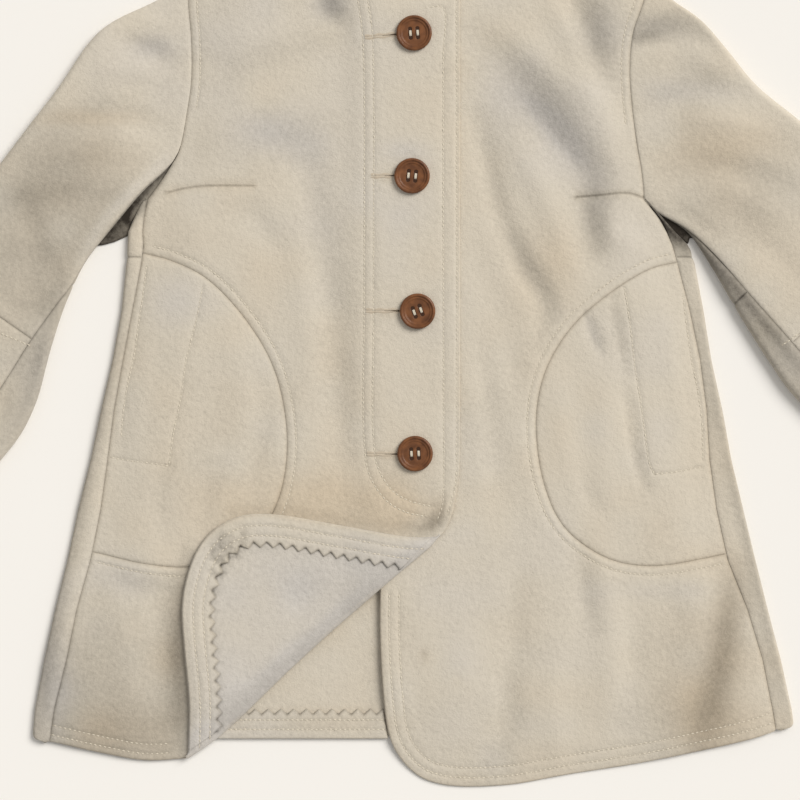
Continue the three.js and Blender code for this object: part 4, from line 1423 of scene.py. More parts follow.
SLEEVE_RIGHT = SleeveCut(
    tip=(190, -20), along=(-0.574, 0.819), across=(0.819, 0.574), side=Side.RIGHT, armhole=ARMHOLE_L,
    hidden=14, slant=1.75, elbow_upper=385, elbow_under=317, under_shade=0.06,
    sections=(
        (-40, 2, 92, 92), (0, 0, 92, 92), (36, -16, 92, 92), (80, -42, 92, 92), (107, -48, 92, 92),
        (165, -46, 91, 91), (200, -48, 81, 82), (250, -50, 78, 78.5), (290, -51, 75.5, 75.5),
        (312, -51, 78, 79), (330, -50.5, 77.5, 82), (347, -50, 77, 86), (390, -49, 76.5, 100),
        (430, -48, 79, 116), (469, -47, 80, 123), (520, -46, 79, 119), (600, -45, 77, 104),
        (667, -44, 75, 94),
    ),
    web=(
        (177, 155), (160, 165), (140, 180), (118, 205), (98, 232), (90, 246), (103, 244.5), (114, 241.5),
        (128, 235), (131, 222), (137, 212), (148, 200), (160, 184), (172, 167), (177, 155),
    ),
    web_shade=0.73,
)
SLEEVE_LEFT = SleeveCut(
    tip=(648, -22), along=(0.682, 0.731), across=(-0.731, 0.682), side=Side.LEFT, armhole=ARMHOLE_R,
    hidden=24, slant=1.2, elbow_upper=365, elbow_under=297, under_shade=0.27,
    sections=(
        (-40, 2, 156, 156), (0, 0, 156, 156), (33, -3.3, 156, 156), (66, -12, 156, 156),
        (107, -9.5, 156, 156), (150, -5.5, 156, 156), (183, -10, 153.5, 154), (206, -14, 143, 143),
        (219, -15, 141, 143.5),
        (261, -16, 140, 151.5), (300, -17, 142, 161), (350, -17, 143, 171), (400, -16, 145, 179),
        (450, -14, 144, 176), (540, -8, 139, 160), (660, 0, 132, 146),
    ),
    web=(
        (641, 188), (644, 199), (652, 210), (661, 219), (673, 232), (689, 244), (690.5, 237), (700, 240),
        (716, 248), (700, 226), (684, 212), (664, 200), (641, 188),
    ),
    web_shade=0.84,
)


@dataclass
class Sleeve:
    """One sleeve laid flat: an upper and an under side, each in two lengths."""

    cut: SleeveCut
    pattern: Pattern
    full: float = 11.5
    halvings: ClassVar[int] = 30

    def _column(self, down: Array, column: int) -> Array:
        """A column of the section table at each length down the arm, smoothed.

        Args:
            down: Lengths down the arm.
            column: The column's number.

        Returns:
            The column's values.
        """
        table = np.array(self.cut.sections)
        spread = [np.interp(down + shift, table[:, 0], table[:, column]) for shift in (-14, -7, 0, 7, 14)]
        return np.mean(spread, axis=0)

    def _place(self, down: Array, across: Array) -> Array:
        """Grid points from sleeve coordinates."""
        tip, along, over = (np.array(v) for v in (self.cut.tip, self.cut.along, self.cut.across))
        return tip + along * down[..., None] + over * across[..., None]

    def _round(self, down: Array, part: Array, upper: bool) -> tuple[Array, Array, Array, Array]:
        """Points round the flattened tube, walked from the hidden seam over the outer edge and back.

        Args:
            down: Length down the arm in grid units.
            part: Share of this piece's girth.
            upper: True for the upper side.

        Returns:
            Across in grid units, height in mm, and the distances to the two long seams.
        """
        unit, hidden = self.pattern.unit, self.cut.hidden
        outer, seam, lower = (self._column(down, k) for k in (1, 2, 3))
        over = outer + (seam - outer) * part if upper else lower
        ease = smooth(0, 100, down - self.cut.slant * np.maximum(0, over))
        radius = (2 * ROLL + (self.full - 2 * ROLL) * ease) / 2 / unit
        first, last = outer + radius, lower - radius
        turn = math.pi * radius
        top = hidden - first + turn
        bend = top + last - first
        bottom = bend + turn
        slope = math.pi / 2 * np.minimum(radius, seam - last)
        sewn = np.where(seam < last, top + seam - first, bend + slope)
        whole = bottom + last - hidden
        touch = TOUCH / unit
        run = touch + (sewn - 2 * touch) * part if upper else sewn + touch + (whole - sewn - 2 * touch) * part
        a1 = np.clip((run - (hidden - first)) / radius, 0, math.pi)
        a2 = np.clip((run - bend) / radius, 0, math.pi)
        parts = [run < hidden - first, run < top, run < bend, run < bottom]
        across = np.select(
            parts,
            [hidden - run, first - radius * np.sin(a1), first + run - top, last + radius * np.sin(a2)],
            last - (run - bottom),
        )
        tall = radius * unit
        z = np.select(parts, [0 * run, tall * (1 - np.cos(a1)), 2 * tall, tall * (1 + np.cos(a2))], 0 * run)
        return across, z, np.abs(run - sewn) * unit, np.minimum(run, whole - run) * unit

    def _stations(self, upper: bool, top: bool) -> Array:
        """Shares of a piece's girth for its columns: fine at the seam and round the edge, coarse below.

        Args:
            upper: True for the upper side of the seams.
            top: True for the length above the elbow.

        Returns:
            The shares, from 0 to 1.
        """
        unit = self.pattern.unit
        middle = np.array([150.0 if top else 500.0])
        outer, seam, lower = (float(self._column(middle, k)[0]) for k in (1, 2, 3))
        below, bend = (self.cut.hidden - outer) * unit, math.pi * self.full / 2
        if upper:
            whole = below + bend + (seam - outer) * unit
            turned = below + bend + 6
            rows = [np.linspace(0, below - 10, 7)[:-1], np.arange(below - 10, turned, 1.9)]
            rows.append(whole - graded(whole - turned, 4.0, False)[::-1])
        else:
            flat = max(2.0, (lower - seam) * unit)
            whole = flat + bend + (lower - self.cut.hidden) * unit
            turned = flat + bend + 6
            rows = [graded(turned, 2.4, False), np.linspace(turned, whole, 9)[1:]]
        return np.unique(np.round(np.concatenate(rows) / whole, 5))

    def _start(self, part: Array, upper: bool) -> Array:
        """Length down the arm at which each line leaves the armhole.

        Args:
            part: Share of the piece's girth at each line.
            upper: True for the upper side of the seams.

        Returns:
            The lengths in grid units.
        """
        hole = curve(self.cut.armhole)
        low, high = np.full(len(part), -40.0), np.full(len(part), 300.0)
        for _ in range(self.halvings):
            down = (low + high) / 2
            p = self._place(down, self._round(down, part, upper)[0])
            edge = np.interp(p[:, 1], hole[:, 1], hole[:, 0])
            beyond = self.cut.side.value * (p[:, 0] - edge) > TOUCH / 2 / self.pattern.unit
            past = (p[:, 1] > UNDERARM) | beyond
            high = np.where(past, down, high)
            low = np.where(past, low, down)
        return high

    def piece(self, name: str, upper: bool, top: bool) -> Thing:
        """One of the sleeve's four pieces.

        Args:
            name: The object's name.
            upper: True for the upper side of the seams.
            top: True for the length above the elbow.

        Returns:
            The cloth object.
        """
        unit = self.pattern.unit
        elbow = self.cut.elbow_upper if upper else self.cut.elbow_under
        cuff = self.cut.sections[-1][0]
        part = self._stations(upper, top)
        starts = self._start(part, upper) if top else np.full(len(part), elbow + TOUCH / 2 / unit)
        stop = elbow - TOUCH / 2 / unit if top else cuff
        length = (stop - starts.min()) * unit
        share = graded(length, 4.0) / length
        down = starts[None, :] + (stop - starts)[None, :] * share[:, None]
        across, z, to_seam, from_hidden = self._round(down, np.broadcast_to(part, down.shape), upper)
        grid = self._place(down, across)
        on_top = smooth(0.25, 0.8, z / self.full)
        relief = fold_height(grid.reshape(-1, 2), SLEEVE_FOLDS).reshape(z.shape)
        waves = drift(grid[..., 0], grid[..., 1], (0.8, 55, 31), (0.3, 24, 32))
        lines = np.minimum((down - starts) * unit, (stop - down) * unit)
        calm = smooth(0, 26, np.minimum(lines, to_seam * 1.6))
        z = z + on_top * (relief + waves) * (0.25 + 0.75 * calm)
        gaps = np.minimum(lines, np.minimum(to_seam, from_hidden))
        middle = np.concatenate([self.pattern.place(grid), z[..., None]], axis=-1)
        if self.cut.side is Side.RIGHT:
            middle, gaps = middle[:, ::-1], gaps[:, ::-1]
        # The under side carries painted shade all over.
        return wall(name, middle, gaps, self.pattern, SLEEVE_FOLDS, 0.0 if upper else self.cut.under_shade)


# The hood at rows up from the neck: centre seam y, folded edge x and y, face edge x and y.
HOOD_SECTIONS = np.array(
    [
        (-79.5, 84, -76.5, 33, -13),
        (-110, 100, -105, 40, -60),
        (-140, 118, -145, 47, -110),
        (-175, 134, -200, 52, -165),
        (-210, 142, -260, 54, -220),
        (-245, 138, -320, 52, -272),
        (-275, 118, -375, 45, -320),
        (-300, 86, -415, 34, -358),
        (-322, 46, -438, 20, -385),
        (-340, 0.2, -446, 0.2, -398),
    ],
    float,
)


@dataclass
class Hood:
    """One half of the hood: back laid down, rolled over at the side and forward to the face edge."""

    side: Side
    pattern: Pattern
    full: float = 9.0
    apart: float = 0.25
    rows: int = 90
    flat_columns: int = 24
    spacing: float = 40.0
    length: float = 420.0
    far: float = 60.0

    def build(self, name: str) -> Thing:
        """Builds the half.

        Args:
            name: The object's name.

        Returns:
            The cloth object.
        """
        at = np.linspace(0, 1, self.rows)
        marks = np.arange(len(HOOD_SECTIONS)) * self.spacing
        lines = (curve(np.column_stack([marks, column]), 4.0) for column in HOOD_SECTIONS.T)
        columns = (np.interp(at * marks[-1], line[:, 0], line[:, 1]) for line in lines)
        seam_y, edge_x, edge_y, face_x, face_y = columns
        edge = np.column_stack([np.maximum(edge_x, self.apart), edge_y])
        face = np.column_stack([np.maximum(face_x, self.apart), face_y])
        seam = np.column_stack([np.full(self.rows, 0.03), seam_y])
        tangent = np.gradient(edge, axis=0)
        tangent /= np.linalg.norm(tangent, axis=1, keepdims=True)
        normal = np.stack([-tangent[:, 1], tangent[:, 0]], axis=1)
        normal[-1] = (0, -1)
        rows, gaps = zip(*(self._row(*row) for row in zip(at, seam, edge, normal, face)))
        rows, gaps = np.array(rows), np.array(gaps)
        grid = np.stack([self.pattern.centre + self.side.value * rows[..., 0], rows[..., 1]], axis=-1)
        middle = np.concatenate([self.pattern.place(grid), rows[..., 2:]], axis=-1)
        if self.side is Side.LEFT:
            middle, gaps = middle[:, ::-1], gaps[:, ::-1]
        return wall(name, middle, gaps, self.pattern, SLEEVE_FOLDS)

    def _row(self, at: float, seam: Array, rim: Array, normal: Array, face: Array) -> tuple[Array, Array]:
        """One row across the half, from the centre seam round the folded edge to the face edge.

        Args:
            at: Share of the way up the half.
            seam: Where the row starts, on the centre seam.
            rim: Where it turns over, on the folded edge.
            normal: Unit direction out of the folded edge.
            face: Where it ends, on the face edge.

        Returns:
            Points as grid x, grid y and height in mm, and their distances from the rims.
        """
        unit = self.pattern.unit
        ease = smooth(0, 0.15, at) * smooth(0, 0.12, 1 - at)
        high = 2 * ROLL + (self.full - 2 * ROLL) * ease
        centre = rim - normal * high / 2 / unit
        centre[0] = max(self.apart, centre[0])
        reach = np.linalg.norm(centre - seam) * unit
        shares = graded(reach, 8.0, False) / reach if reach > 12 else np.linspace(0, 1, 8)
        row = [(*(seam + (centre - seam) * t), 0.0) for t in shares]
        gaps = [t * reach for t in shares]
        while len(row) < self.flat_columns:
            row.insert(-1, tuple((np.array(row[-2]) + np.array(row[-1])) / 2))
            gaps.insert(-1, (gaps[-2] + gaps[-1]) / 2)
        for angle in np.linspace(-math.pi / 2, math.pi / 2, 12)[1:-1]:
            out = centre + normal * high / 2 / unit * math.cos(angle)
            row.append((max(0.2, out[0]), out[1], high / 2 * (1 + math.sin(angle))))
            gaps.append(self.far)
        over = np.linalg.norm(face - centre) * unit
        for t in 1 - graded(12.0, 1.2, False)[::-1] / 12.0:
            wave = 0.8 * math.sin(at * 21 + t * 3) * math.sin(math.pi * t) * ease
            row.append((*(centre + (face - centre) * t), high + wave))
            gaps.append((1 - t) * over)
        return np.array(row), np.minimum(gaps, min(at, 1 - at) * self.length)


@dataclass
class Surface:
    """The upper surface of the laid coat, to seat stitches and trims on."""

    things: Sequence[Thing]
    tree: BVHTree = field(init=False)

    def __post_init__(self) -> None:
        """Gathers the cloth meshes into one search tree."""
        points, tris, start = [], [], 0
        for thing in self.things:
            mesh = thing.data
            co = np.empty(3 * len(mesh.vertices), np.float32)
            mesh.vertices.foreach_get("co", co)
            corners = np.empty(len(mesh.loops), np.int32)
            mesh.loops.foreach_get("vertex_index", corners)
            points.append(co.reshape(-1, 3))
            tris.append(corners.reshape(-1, 3) + start)
            start += len(mesh.vertices)
        corners, faces = np.vstack(points).tolist(), np.vstack(tris).tolist()
        self.tree = BVHTree.FromPolygons(corners, faces, all_triangles=True)

    def drop(self, x: float, y: float) -> float:
        """Finds the cloth under a point.

        Args:
            x: Frame x in mm.
            y: Frame y in mm.

        Returns:
            The height in mm.
        """
        hit = self.tree.ray_cast(Vector((x * MM, y * MM, 0.1)), Vector((0, 0, -1)))[0]
        return 0.0 if hit is None else hit.z / MM


@dataclass
class Stitching:
    """Rows of topstitching, one short thread at a time, pressed into the nap."""

    surface: Surface
    pattern: Pattern
    finish: Material
    # Finish of the painted shade in the needle holes.
    hole: Material
    pitch: float = 4.3
    long: float = 3.2
    wide: float = 0.55
    stations: ClassVar[Line] = (
        (-0.5, 0.3, -0.45), (-0.3, 0.9, 0.22), (0.0, 1.0, 0.38), (0.3, 0.9, 0.22), (0.5, 0.3, -0.45),
    )
    section: ClassVar[Line] = ((-1.0, -0.45), (-0.6, 0.35), (0.0, 0.62), (0.6, 0.35), (1.0, -0.45))

    def sew(self, name: str, rows: Sequence[Array]) -> Thing:
        """Sews rows of stitches.

        Args:
            name: The object's name.
            rows: Lines in grid units.

        Returns:
            The stitches as one object.
        """
        points, tris, start = [], [], 0
        rng = np.random.default_rng(len(name))
        for row in rows:
            line = straight(self.pattern.place(row), self.pitch)
            for a, b in zip(line[:-1], line[1:]):
                run = (b - a) / (np.linalg.norm(b - a) + TINY)
                mid = (a + b) / 2 + rng.normal(0, 0.10, 2)
                lean = rng.normal(0, 0.11)
                run = np.array([run[0] - lean * run[1], run[1] + lean * run[0]])
                z = self.surface.drop(*mid) - 0.12 + rng.normal(0, 0.12)
                stitch, faces = self._thread(mid, run, z)
                points.append(stitch)
                tris.append(faces + start)
                start += len(stitch)
        thing = solid(name, np.vstack(points), np.vstack(tris))
        thing.data.materials.append(self.finish)
        return joined(thing, self._hole_shade(name + "_hole_shade", rows))

    def _hole_shade(self, name: str, rows: Sequence[Array]) -> Thing:
        """Flat dark discs of painted shade where the thread goes down between two stitches.

        Args:
            name: The object's name.
            rows: Lines in grid units.

        Returns:
            The dips as one object.
        """
        points, tris, turns = [], [], turns_of(6)
        for row in rows:
            for at in straight(self.pattern.place(row), self.pitch):
                start = len(points)
                z = self.surface.drop(*at) + 0.05
                points += [(x, y, z) for x, y in circle(at, self.wide, self.wide, turns)]
                tris += [(start, start + k, start + k + 1) for k in range(1, len(turns) - 1)]
        thing = solid(name, np.array(points), np.array(tris))
        thing.data.materials.append(self.hole)
        return thing

    def _thread(self, mid: Array, run: Array, z: float) -> tuple[Array, Array]:
        """One stitch as a low rounded bar that dips into the cloth at both ends.

        Args:
            mid: Its middle in mm.
            run: Its direction.
            z: The cloth's height there.

        Returns:
            Points and triangles.
        """
        over = np.array([-run[1], run[0]])
        points = []
        for share, girth, rise in self.stations:
            for side, lift in self.section:
                flat = mid + run * self.long * share + over * self.wide * side * girth
                points.append((flat[0], flat[1], z + rise + lift * girth * self.wide))
        number = np.arange(len(points)).reshape(len(self.stations), len(self.section))
        tris = [tri for first, second in zip(number[:-1], number[1:]) for tri in strip(first, second)]
        for end in (number[0], number[-1]):
            tris += [(end[0], a, b) for a, b in zip(end[1:-1], end[2:])]
        return np.array(points), np.array(tris)


@dataclass
class Buttonhole:
    """A worked buttonhole: two corded rails round a dark strip of painted shade in the slit."""

    surface: Surface
    pattern: Pattern
    finishes: Finishes
    pitch: float = 0.75
    jitter: float = 0.55
    stations: int = 14

    def build(self, name: str, line: Sequence[float]) -> Thing:
        """Works one buttonhole.

        Args:
            name: The object's name.
            line: Its two ends, x0, y0, x1, y1, in grid units.

        Returns:
            The buttonhole as one object.
        """
        a, b = self.pattern.place(np.array([line[:2], line[2:]], float))
        return joined(self._rails(name, a, b), self._slit(name + "_slit", a, b))

    def _rails(self, name: str, a: Array, b: Array) -> Thing:
        """The corded rails, one short thread beside the next.

        Args:
            name: The object's name.
            a: One end in mm.
            b: The other end.

        Returns:
            The rails as one object.
        """
        length = np.linalg.norm(b - a)
        run = (b - a) / length
        over = np.array([-run[1], run[0]])
        points, tris = [], []
        threads = int(length / self.pitch)
        for side in (-1, 1):
            for k in range(threads):
                at = a + run * (k + 0.5) * length / threads
                number = len(points) + np.arange(12).reshape(4, 3)
                tris += [tri for pair in zip(number[:-1], number[1:]) for tri in strip(*pair)]
                stray = self.jitter * math.sin(k * 12.9898 + side)
                for reach, lift in ((0.12, -0.2), (0.6, 0.16), (1.4, 0.16), (2.1 + stray, -0.1)):
                    mid = at + over * side * reach
                    z = self.surface.drop(*mid)
                    for step, up in ((-0.37, 0.0), (0.0, 0.22), (0.37, 0.0)):
                        points.append((*(mid + run * step), z + lift + up))
        thing = solid(name, np.array(points), np.array(tris))
        thing.data.materials.append(self.finishes.cord)
        return thing

    def _slit(self, name: str, a: Array, b: Array) -> Thing:
        """The slit as a dark strip of painted shade, which opens towards the button.

        Args:
            name: The object's name.
            a: The closed end in mm.
            b: The end under the button.

        Returns:
            The slit as one object.
        """
        run = (b - a) / np.linalg.norm(b - a)
        over = np.array([-run[1], run[0]])
        points = []
        for share in np.arange(self.stations + 1) / self.stations:
            at = a + (b - a) * (0.55 + 0.50 * share)
            opening = 0.10 + 1.15 * smooth(0.25, 1.0, share)
            z = self.surface.drop(*at) + 0.25
            points += [(*(at + over * side * opening), z) for side in (-1, 1)]
        number = np.arange(len(points)).reshape(-1, 2)
        tris = [tri for pair in zip(number[:-1], number[1:]) for tri in strip(*pair)]
        thing = solid(name, np.array(points), np.array(tris))
        thing.data.materials.append(self.finishes.slit)
        return thing


@dataclass
class Button:
    """A round four-hole button with a stepped rim, sewn with two bars of thread.

    The profile runs from the middle of the underside over the rim to the face, as radius and height.
    """

    pattern: Pattern
    finishes: Finishes
    hole: float = 1.75
    apart: float = 3.25
    along: float = 4.0
    face: float = 7.6
    face_height: float = 2.66
    around: int = 96
    around_hole: int = 20
    stations: int = 11
    profile: ClassVar[Line] = (
        (12.0, 0.0), (13.6, 0.0), (14.6, 0.35), (15.4, 1.0), (15.9, 1.8), (16.0, 2.4), (15.85, 3.1),
        (15.4, 3.75), (14.8, 4.12), (14.1, 4.2), (13.6, 4.05), (13.3, 3.5), (13.0, 3.15), (12.5, 3.2),
        (11.7, 3.3), (11.3, 3.15), (11.0, 2.75), (10.6, 2.62), (9.6, 2.66), (7.6, 2.66),
    )

    def build(self, name: str, x: float, y: float, turn: float, seat: float) -> Thing:
        """Turns one button and sews it on.

        Args:
            name: The object's name.
            x: Middle in grid units.
            y: Middle in grid units.
            turn: Turn of its holes in degrees.
            seat: Height of its underside in mm.

        Returns:
            The button as one object.
        """
        rings = [self._ring((0, 0), radius, z, self.around) for radius, z in self.profile]
        number = 1 + np.arange(len(rings) * self.around).reshape(len(rings), self.around)
        tris = [(0, b, a) for a, b in zip(number[0], np.roll(number[0], -1))]
        for first, second in zip(number[:-1], number[1:]):
            tris += self._band(first, second)
        middle, faces = self._face(number[-1][0])
        angle, at = math.radians(turn), self.pattern.place(np.array([x, y]))
        disc = self._set(name, np.vstack([np.zeros((1, 3)), *rings, middle]), tris + faces, at, angle, seat)
        disc.data.materials.append(self.finishes.plastic)
        return joined(disc, self._thread(name + "_thread", at, angle, seat))

    def _ring(self, centre: Sequence[float], radius: float, z: float, count: int) -> Array:
        """Points right round a circle at one height."""
        return np.column_stack([circle(centre, radius, radius, turns_of(count)), np.full(count, z)])

    def _band(self, first: Array, second: Array) -> Tris:
        """Triangles between two closed rings of point numbers, seen from the outside of the first."""
        return [tri[::-1] for tri in strip(np.append(first, first[0]), np.append(second, second[0]))]

    def _face(self, edge: int) -> tuple[Array, Tris]:
        """The middle of the face with its four holes.

        Args:
            edge: Number of the first point of the ring that the middle joins.

        Returns:
            New points, numbered after that ring, and triangles.
        """
        count = self.around_hole
        quarters = ((1, 1), (-1, 1), (-1, -1), (1, -1))
        centres = [(side * self.apart, end * self.along) for side, end in quarters]
        levels = ((self.hole + 0.4, 0.0), (self.hole + 0.15, -0.07), (self.hole, -0.3), (self.hole, -2.6))
        top = self.face_height
        wells = [[self._ring(at, radius, top + z, count) for radius, z in levels] for at in centres]
        outline = self._ring((0, 0), self.face, self.face_height, self.around)
        flat = [Vector(p[:2]) for p in np.vstack([outline, *(well[0] for well in wells)])]
        edges = [(k, (k + 1) % self.around) for k in range(self.around)]
        for base in range(self.around, len(flat), count):
            edges += [(base + k, base + (k + 1) % count) for k in range(count)]
        verts, _, faces, origins, _, _ = delaunay_2d_cdt(flat, edges, [], 1, 1e-6)
        number = [edge + (old[0] if old else new) for new, old in enumerate(origins)]
        tris = []
        for face in faces:
            a, b, c = (Vector(verts[i]) for i in face)
            middle = (a + b + c) / 3
            if all((middle - Vector(at)).length >= levels[0][0] * 0.97 for at in centres):
                tri = tuple(number[i] for i in face)
                tris.append(tri if (b - a).cross(c - a) > 0 else tri[::-1])
        points = [well[0] for well in wells]
        start = edge + self.around
        following = start + count * len(wells)
        for well in wells:
            before = np.arange(start, start + count)
            start += count
            for ring in well[1:]:
                after = np.arange(following, following + count)
                following += count
                points.append(ring)
                tris += self._band(before, after)
                before = after
        return np.vstack(points), tris

    def _thread(self, name: str, at: Array, angle: float, seat: float) -> Thing:
        """Two bars of thread through the holes, over a flat dark oval of painted shade in the hollow between
        each pair.

        Args:
            name: The object's name.
            at: The button's middle in mm.
            angle: Its turn in radians.
            seat: Height of its underside.

        Returns:
            The thread.
        """
        points, tris, turns = [], [], turns_of(6)
        for bar in (-self.apart, self.apart):
            for strand in (-0.8, -0.28, 0.28, 0.8):
                number = len(points) + np.arange(self.stations * 6).reshape(-1, 6)
                tris += [tri for pair in zip(number[:-1], number[1:]) for tri in self._band(*pair)]
                for share in np.linspace(-1, 1, self.stations):
                    lift = 0.75 - 5.5 * max(0.0, abs(share) - 0.5)
                    middle = (bar + strand * (1 - 0.25 * abs(share)), self.face_height + lift)
                    section = circle(middle, 0.32, 0.25, turns)
                    points += [(x, self.along * 0.95 * share, z) for x, z in section]
        thing = self._set(name, np.array(points), tris, at, angle, seat)
        thing.data.materials.append(self.finishes.thread)
        # Flat dark ovals under the bars: painted shade in the hollow between each pair of holes.
        turns, ring, fans = turns_of(28), [], []
        for bar in (-self.apart, self.apart):
            start = len(ring)
            ends = np.where(np.sin(turns) < 0, -self.along, self.along)
            ring += [(x, y + end, 2.70) for (x, y), end in zip(circle((bar, 0), 1.7, 1.9, turns), ends)]
            fans += [(start, start + k, start + k + 1) for k in range(1, len(turns) - 1)]
        hollow = self._set(name + "_hollow", np.array(ring), fans, at, angle, seat)
        hollow.data.materials.append(self.finishes.hollow)
        return joined(thing, hollow)

    def _set(
        self, name: str, points: Array, tris: Sequence[Sequence[int]], at: Array, angle: float, seat: float
    ) -> Thing:
        """Turns points about the button's middle and sets them down on the cloth.

        Args:
            name: The object's name.
            points: Points in mm about the middle of the button's underside.
            tris: Their triangles.
            at: The button's middle in mm.
            angle: Its turn in radians.
            seat: Height of its underside.

        Returns:
            The object.
        """
        x = points[:, 0] * math.cos(angle) - points[:, 1] * math.sin(angle) + at[0]
        y = points[:, 0] * math.sin(angle) + points[:, 1] * math.cos(angle) + at[1]
        return solid(name, np.column_stack([x, y, points[:, 2] + seat]), np.array(tris))


def on_ground(x: Array, y: Array) -> Array:
    """Underside of a piece that lies on the floor, at each point."""
    return np.zeros(np.broadcast(x, y).shape)


def on_back(x: Array, y: Array) -> Array:
    """Underside of a piece that lies on the back, at each point."""
    return np.full(np.broadcast(x, y).shape, LAYER)


def notches(teeth: Array, away: Array, middle: float) -> tuple[Array, Array]:
    """How strong the painted shadow along a pinked edge is: darkest deep in the notches.

    Args:
        teeth: Samples along the pinked edge.
        away: Distance of each sample from the cloth's outer edge, in grid units.
        middle: That distance halfway up the teeth.

    Returns:
        The samples and the shade of each.
    """
    return teeth, 0.24 + 0.28 * smooth(0.5, 2.4, middle - away)


def zigzag(count: int) -> Array:
    """1 and -1 by turns."""
    return np.where(np.arange(count) % 2 == 0, 1.0, -1.0)


# Painted shade on the cloth sunk under the arms, with painted light beside the body.
WEB_FOLDS = folds_of(
    ((182, 150, 150, 186, 126, 212, 98, 242), 6, 0, 0.24),
    ((124, 206, 127, 218, 133, 230), 4, 0, 0.22),
    ((168, 174, 154, 192, 141, 210, 136, 222), 6, 0, -0.4),
    ((645, 196, 665, 218, 690, 236), 8, 0, 0.25),
)
# The back's folds: the fronts' folds, painted shadow in the dark hollows under both arms, and painted shade
# along both rolled sides.
WRAP_FOLDS = FRONT_FOLDS + folds_of(
    ((632, 190, 656, 212, 672, 230, 694, 246, 716, 262), 11, 0, 0.92),
    ((150, 196, 140, 208, 131, 226), 5, 0, 0.35),
    ((127, 240, 119, 320, 103, 400, 78, 510, 50, 640, 33, 735), 10, 0, 0.36),
    ((699, 290, 712, 380, 727, 450, 748, 540, 772, 640, 790, 725), 8, 0, 0.22),
)


@dataclass
class StitchRows:
    """Where the topstitching and the darts run, in grid units."""

    corner: Array
    dart_l: Array = field(init=False)
    dart_r: Array = field(init=False)
    front_right: Rows = field(init=False)
    front_left: Rows = field(init=False)
    flap: Rows = field(init=False)
    pocket_right: Rows = field(init=False)
    pocket_left: Rows = field(init=False)
    hem_facing: Rows = field(init=False)
    elbows: Rows = field(init=False)
    cuffs: Rows = field(init=False)
    hood_edge: Rows = field(init=False)

    def __post_init__(self) -> None:
        """Works out every row from the seams and edges that it follows."""
        self.dart_l = curve([(169, 192), (186, 188), (207, 186), (253, 186)])
        self.dart_r = curve([(577, 197), (599, 195), (628, 193), (646, 198)])
        panel = offset(curve(PANEL_SEAM_L)[3:-3], 9.0)
        hidden = np.flatnonzero(inside(panel, self.corner))
        hem_right, hem_left = curve(HEM_RIGHT_FRONT)[:-8], curve(HEM_LEFT_FRONT)
        self.front_right = (
            offset(curve(ARMHOLE_L)[:54], 8.5),
            panel[: hidden[0]],
            panel[hidden[-1] + 1 :],
            *(curve(line) for line in (PLACKET_OUTER, PLACKET_INNER, FRONT_EDGE_ROW, FRONT_EDGE_LINE)),
            offset(hem_right, 7.0),
            offset(hem_right, 16.5),
        )
        self.front_left = (
            offset(curve(ARMHOLE_R)[:62], -8.5),
            offset(curve(PANEL_SEAM_R)[3:-3], -9.0),
            offset(hem_left, 9.0),
            offset(hem_left, 19.0),
        )
        inner = (offset(curve(FLAP_EDGE), away) for away in (11.5, 21.5))
        self.flap = tuple(row[inside(row, self.corner)] for row in inner)
        self.pocket_right = (
            curve([(203, 286), (195, 325), (186, 361), (181, 396), (174, 429), (169, 465)]),
            curve([(110, 457), (124, 460), (148, 463), (169, 466)]),
            curve([(146, 266), (143, 292), (138, 325), (133, 360), (127, 385), (122, 420), (121, 437)]),
        )
        self.pocket_left = (
            curve([(624, 287), (630, 325), (635, 368), (640, 399), (645, 434), (649, 463), (654, 474)]),
            curve([(654, 474), (676, 472), (702, 467)]),
            curve([(683, 296), (688, 334), (692, 361), (697, 385), (702, 420), (703, 460)]),
        )
        self.hem_facing = (straight([(228, 730), (385, 730)]), straight([(238, 720.5), (384, 720.5)]))
        self.elbows = (
            straight([(-44, 300), (-10, 329), (31, 346)]),
            straight([(782, 345), (830, 312), (890, 252)]),
        )
        sleeves = (SLEEVE_RIGHT, SLEEVE_LEFT)
        self.cuffs = tuple(self._cuff(cut, away) for cut in sleeves for away in (9.0, 19.0))
        face = curve(HOOD_SECTIONS[:, 3:])
        face = face[(face[:, 0] > 8) & (face[:, 1] < -20)]
        self.hood_edge = tuple(
            np.column_stack([Pattern.centre + side.value * row[:, 0], row[:, 1]])
            for side in (Side.RIGHT, Side.LEFT)
            for row in (offset(face, -9.0), offset(face, -19.0))
        )

    def _cuff(self, cut: SleeveCut, away: float) -> Array:
        """A hem row across a sleeve's end.

        Args:
            cut: The sleeve's sizes.
            away: Distance from the end in grid units.

        Returns:
            The row's samples.
        """
        end = cut.sections[-1]
        across = np.linspace(end[1] + 7, end[3] - 7, 30)[:, None]
        tip, along, over = (np.array(v) for v in (cut.tip, cut.along, cut.across))
        return tip + along * (end[0] - away) + over * across

    def sewn(self) -> dict[str, Rows]:
        """The rows that carry thread, by piece.

        Returns:
            The rows under the name of what they are sewn on.
        """
        return {
            "front_right": self.front_right,
            "front_left": self.front_left,
            "turned_corner": self.flap,
            "pockets": (*self.pocket_right, *self.pocket_left),
            "back_hem": self.hem_facing,
            "elbows": self.elbows,
            "cuffs": self.cuffs,
            "hood_edge": self.hood_edge,
        }


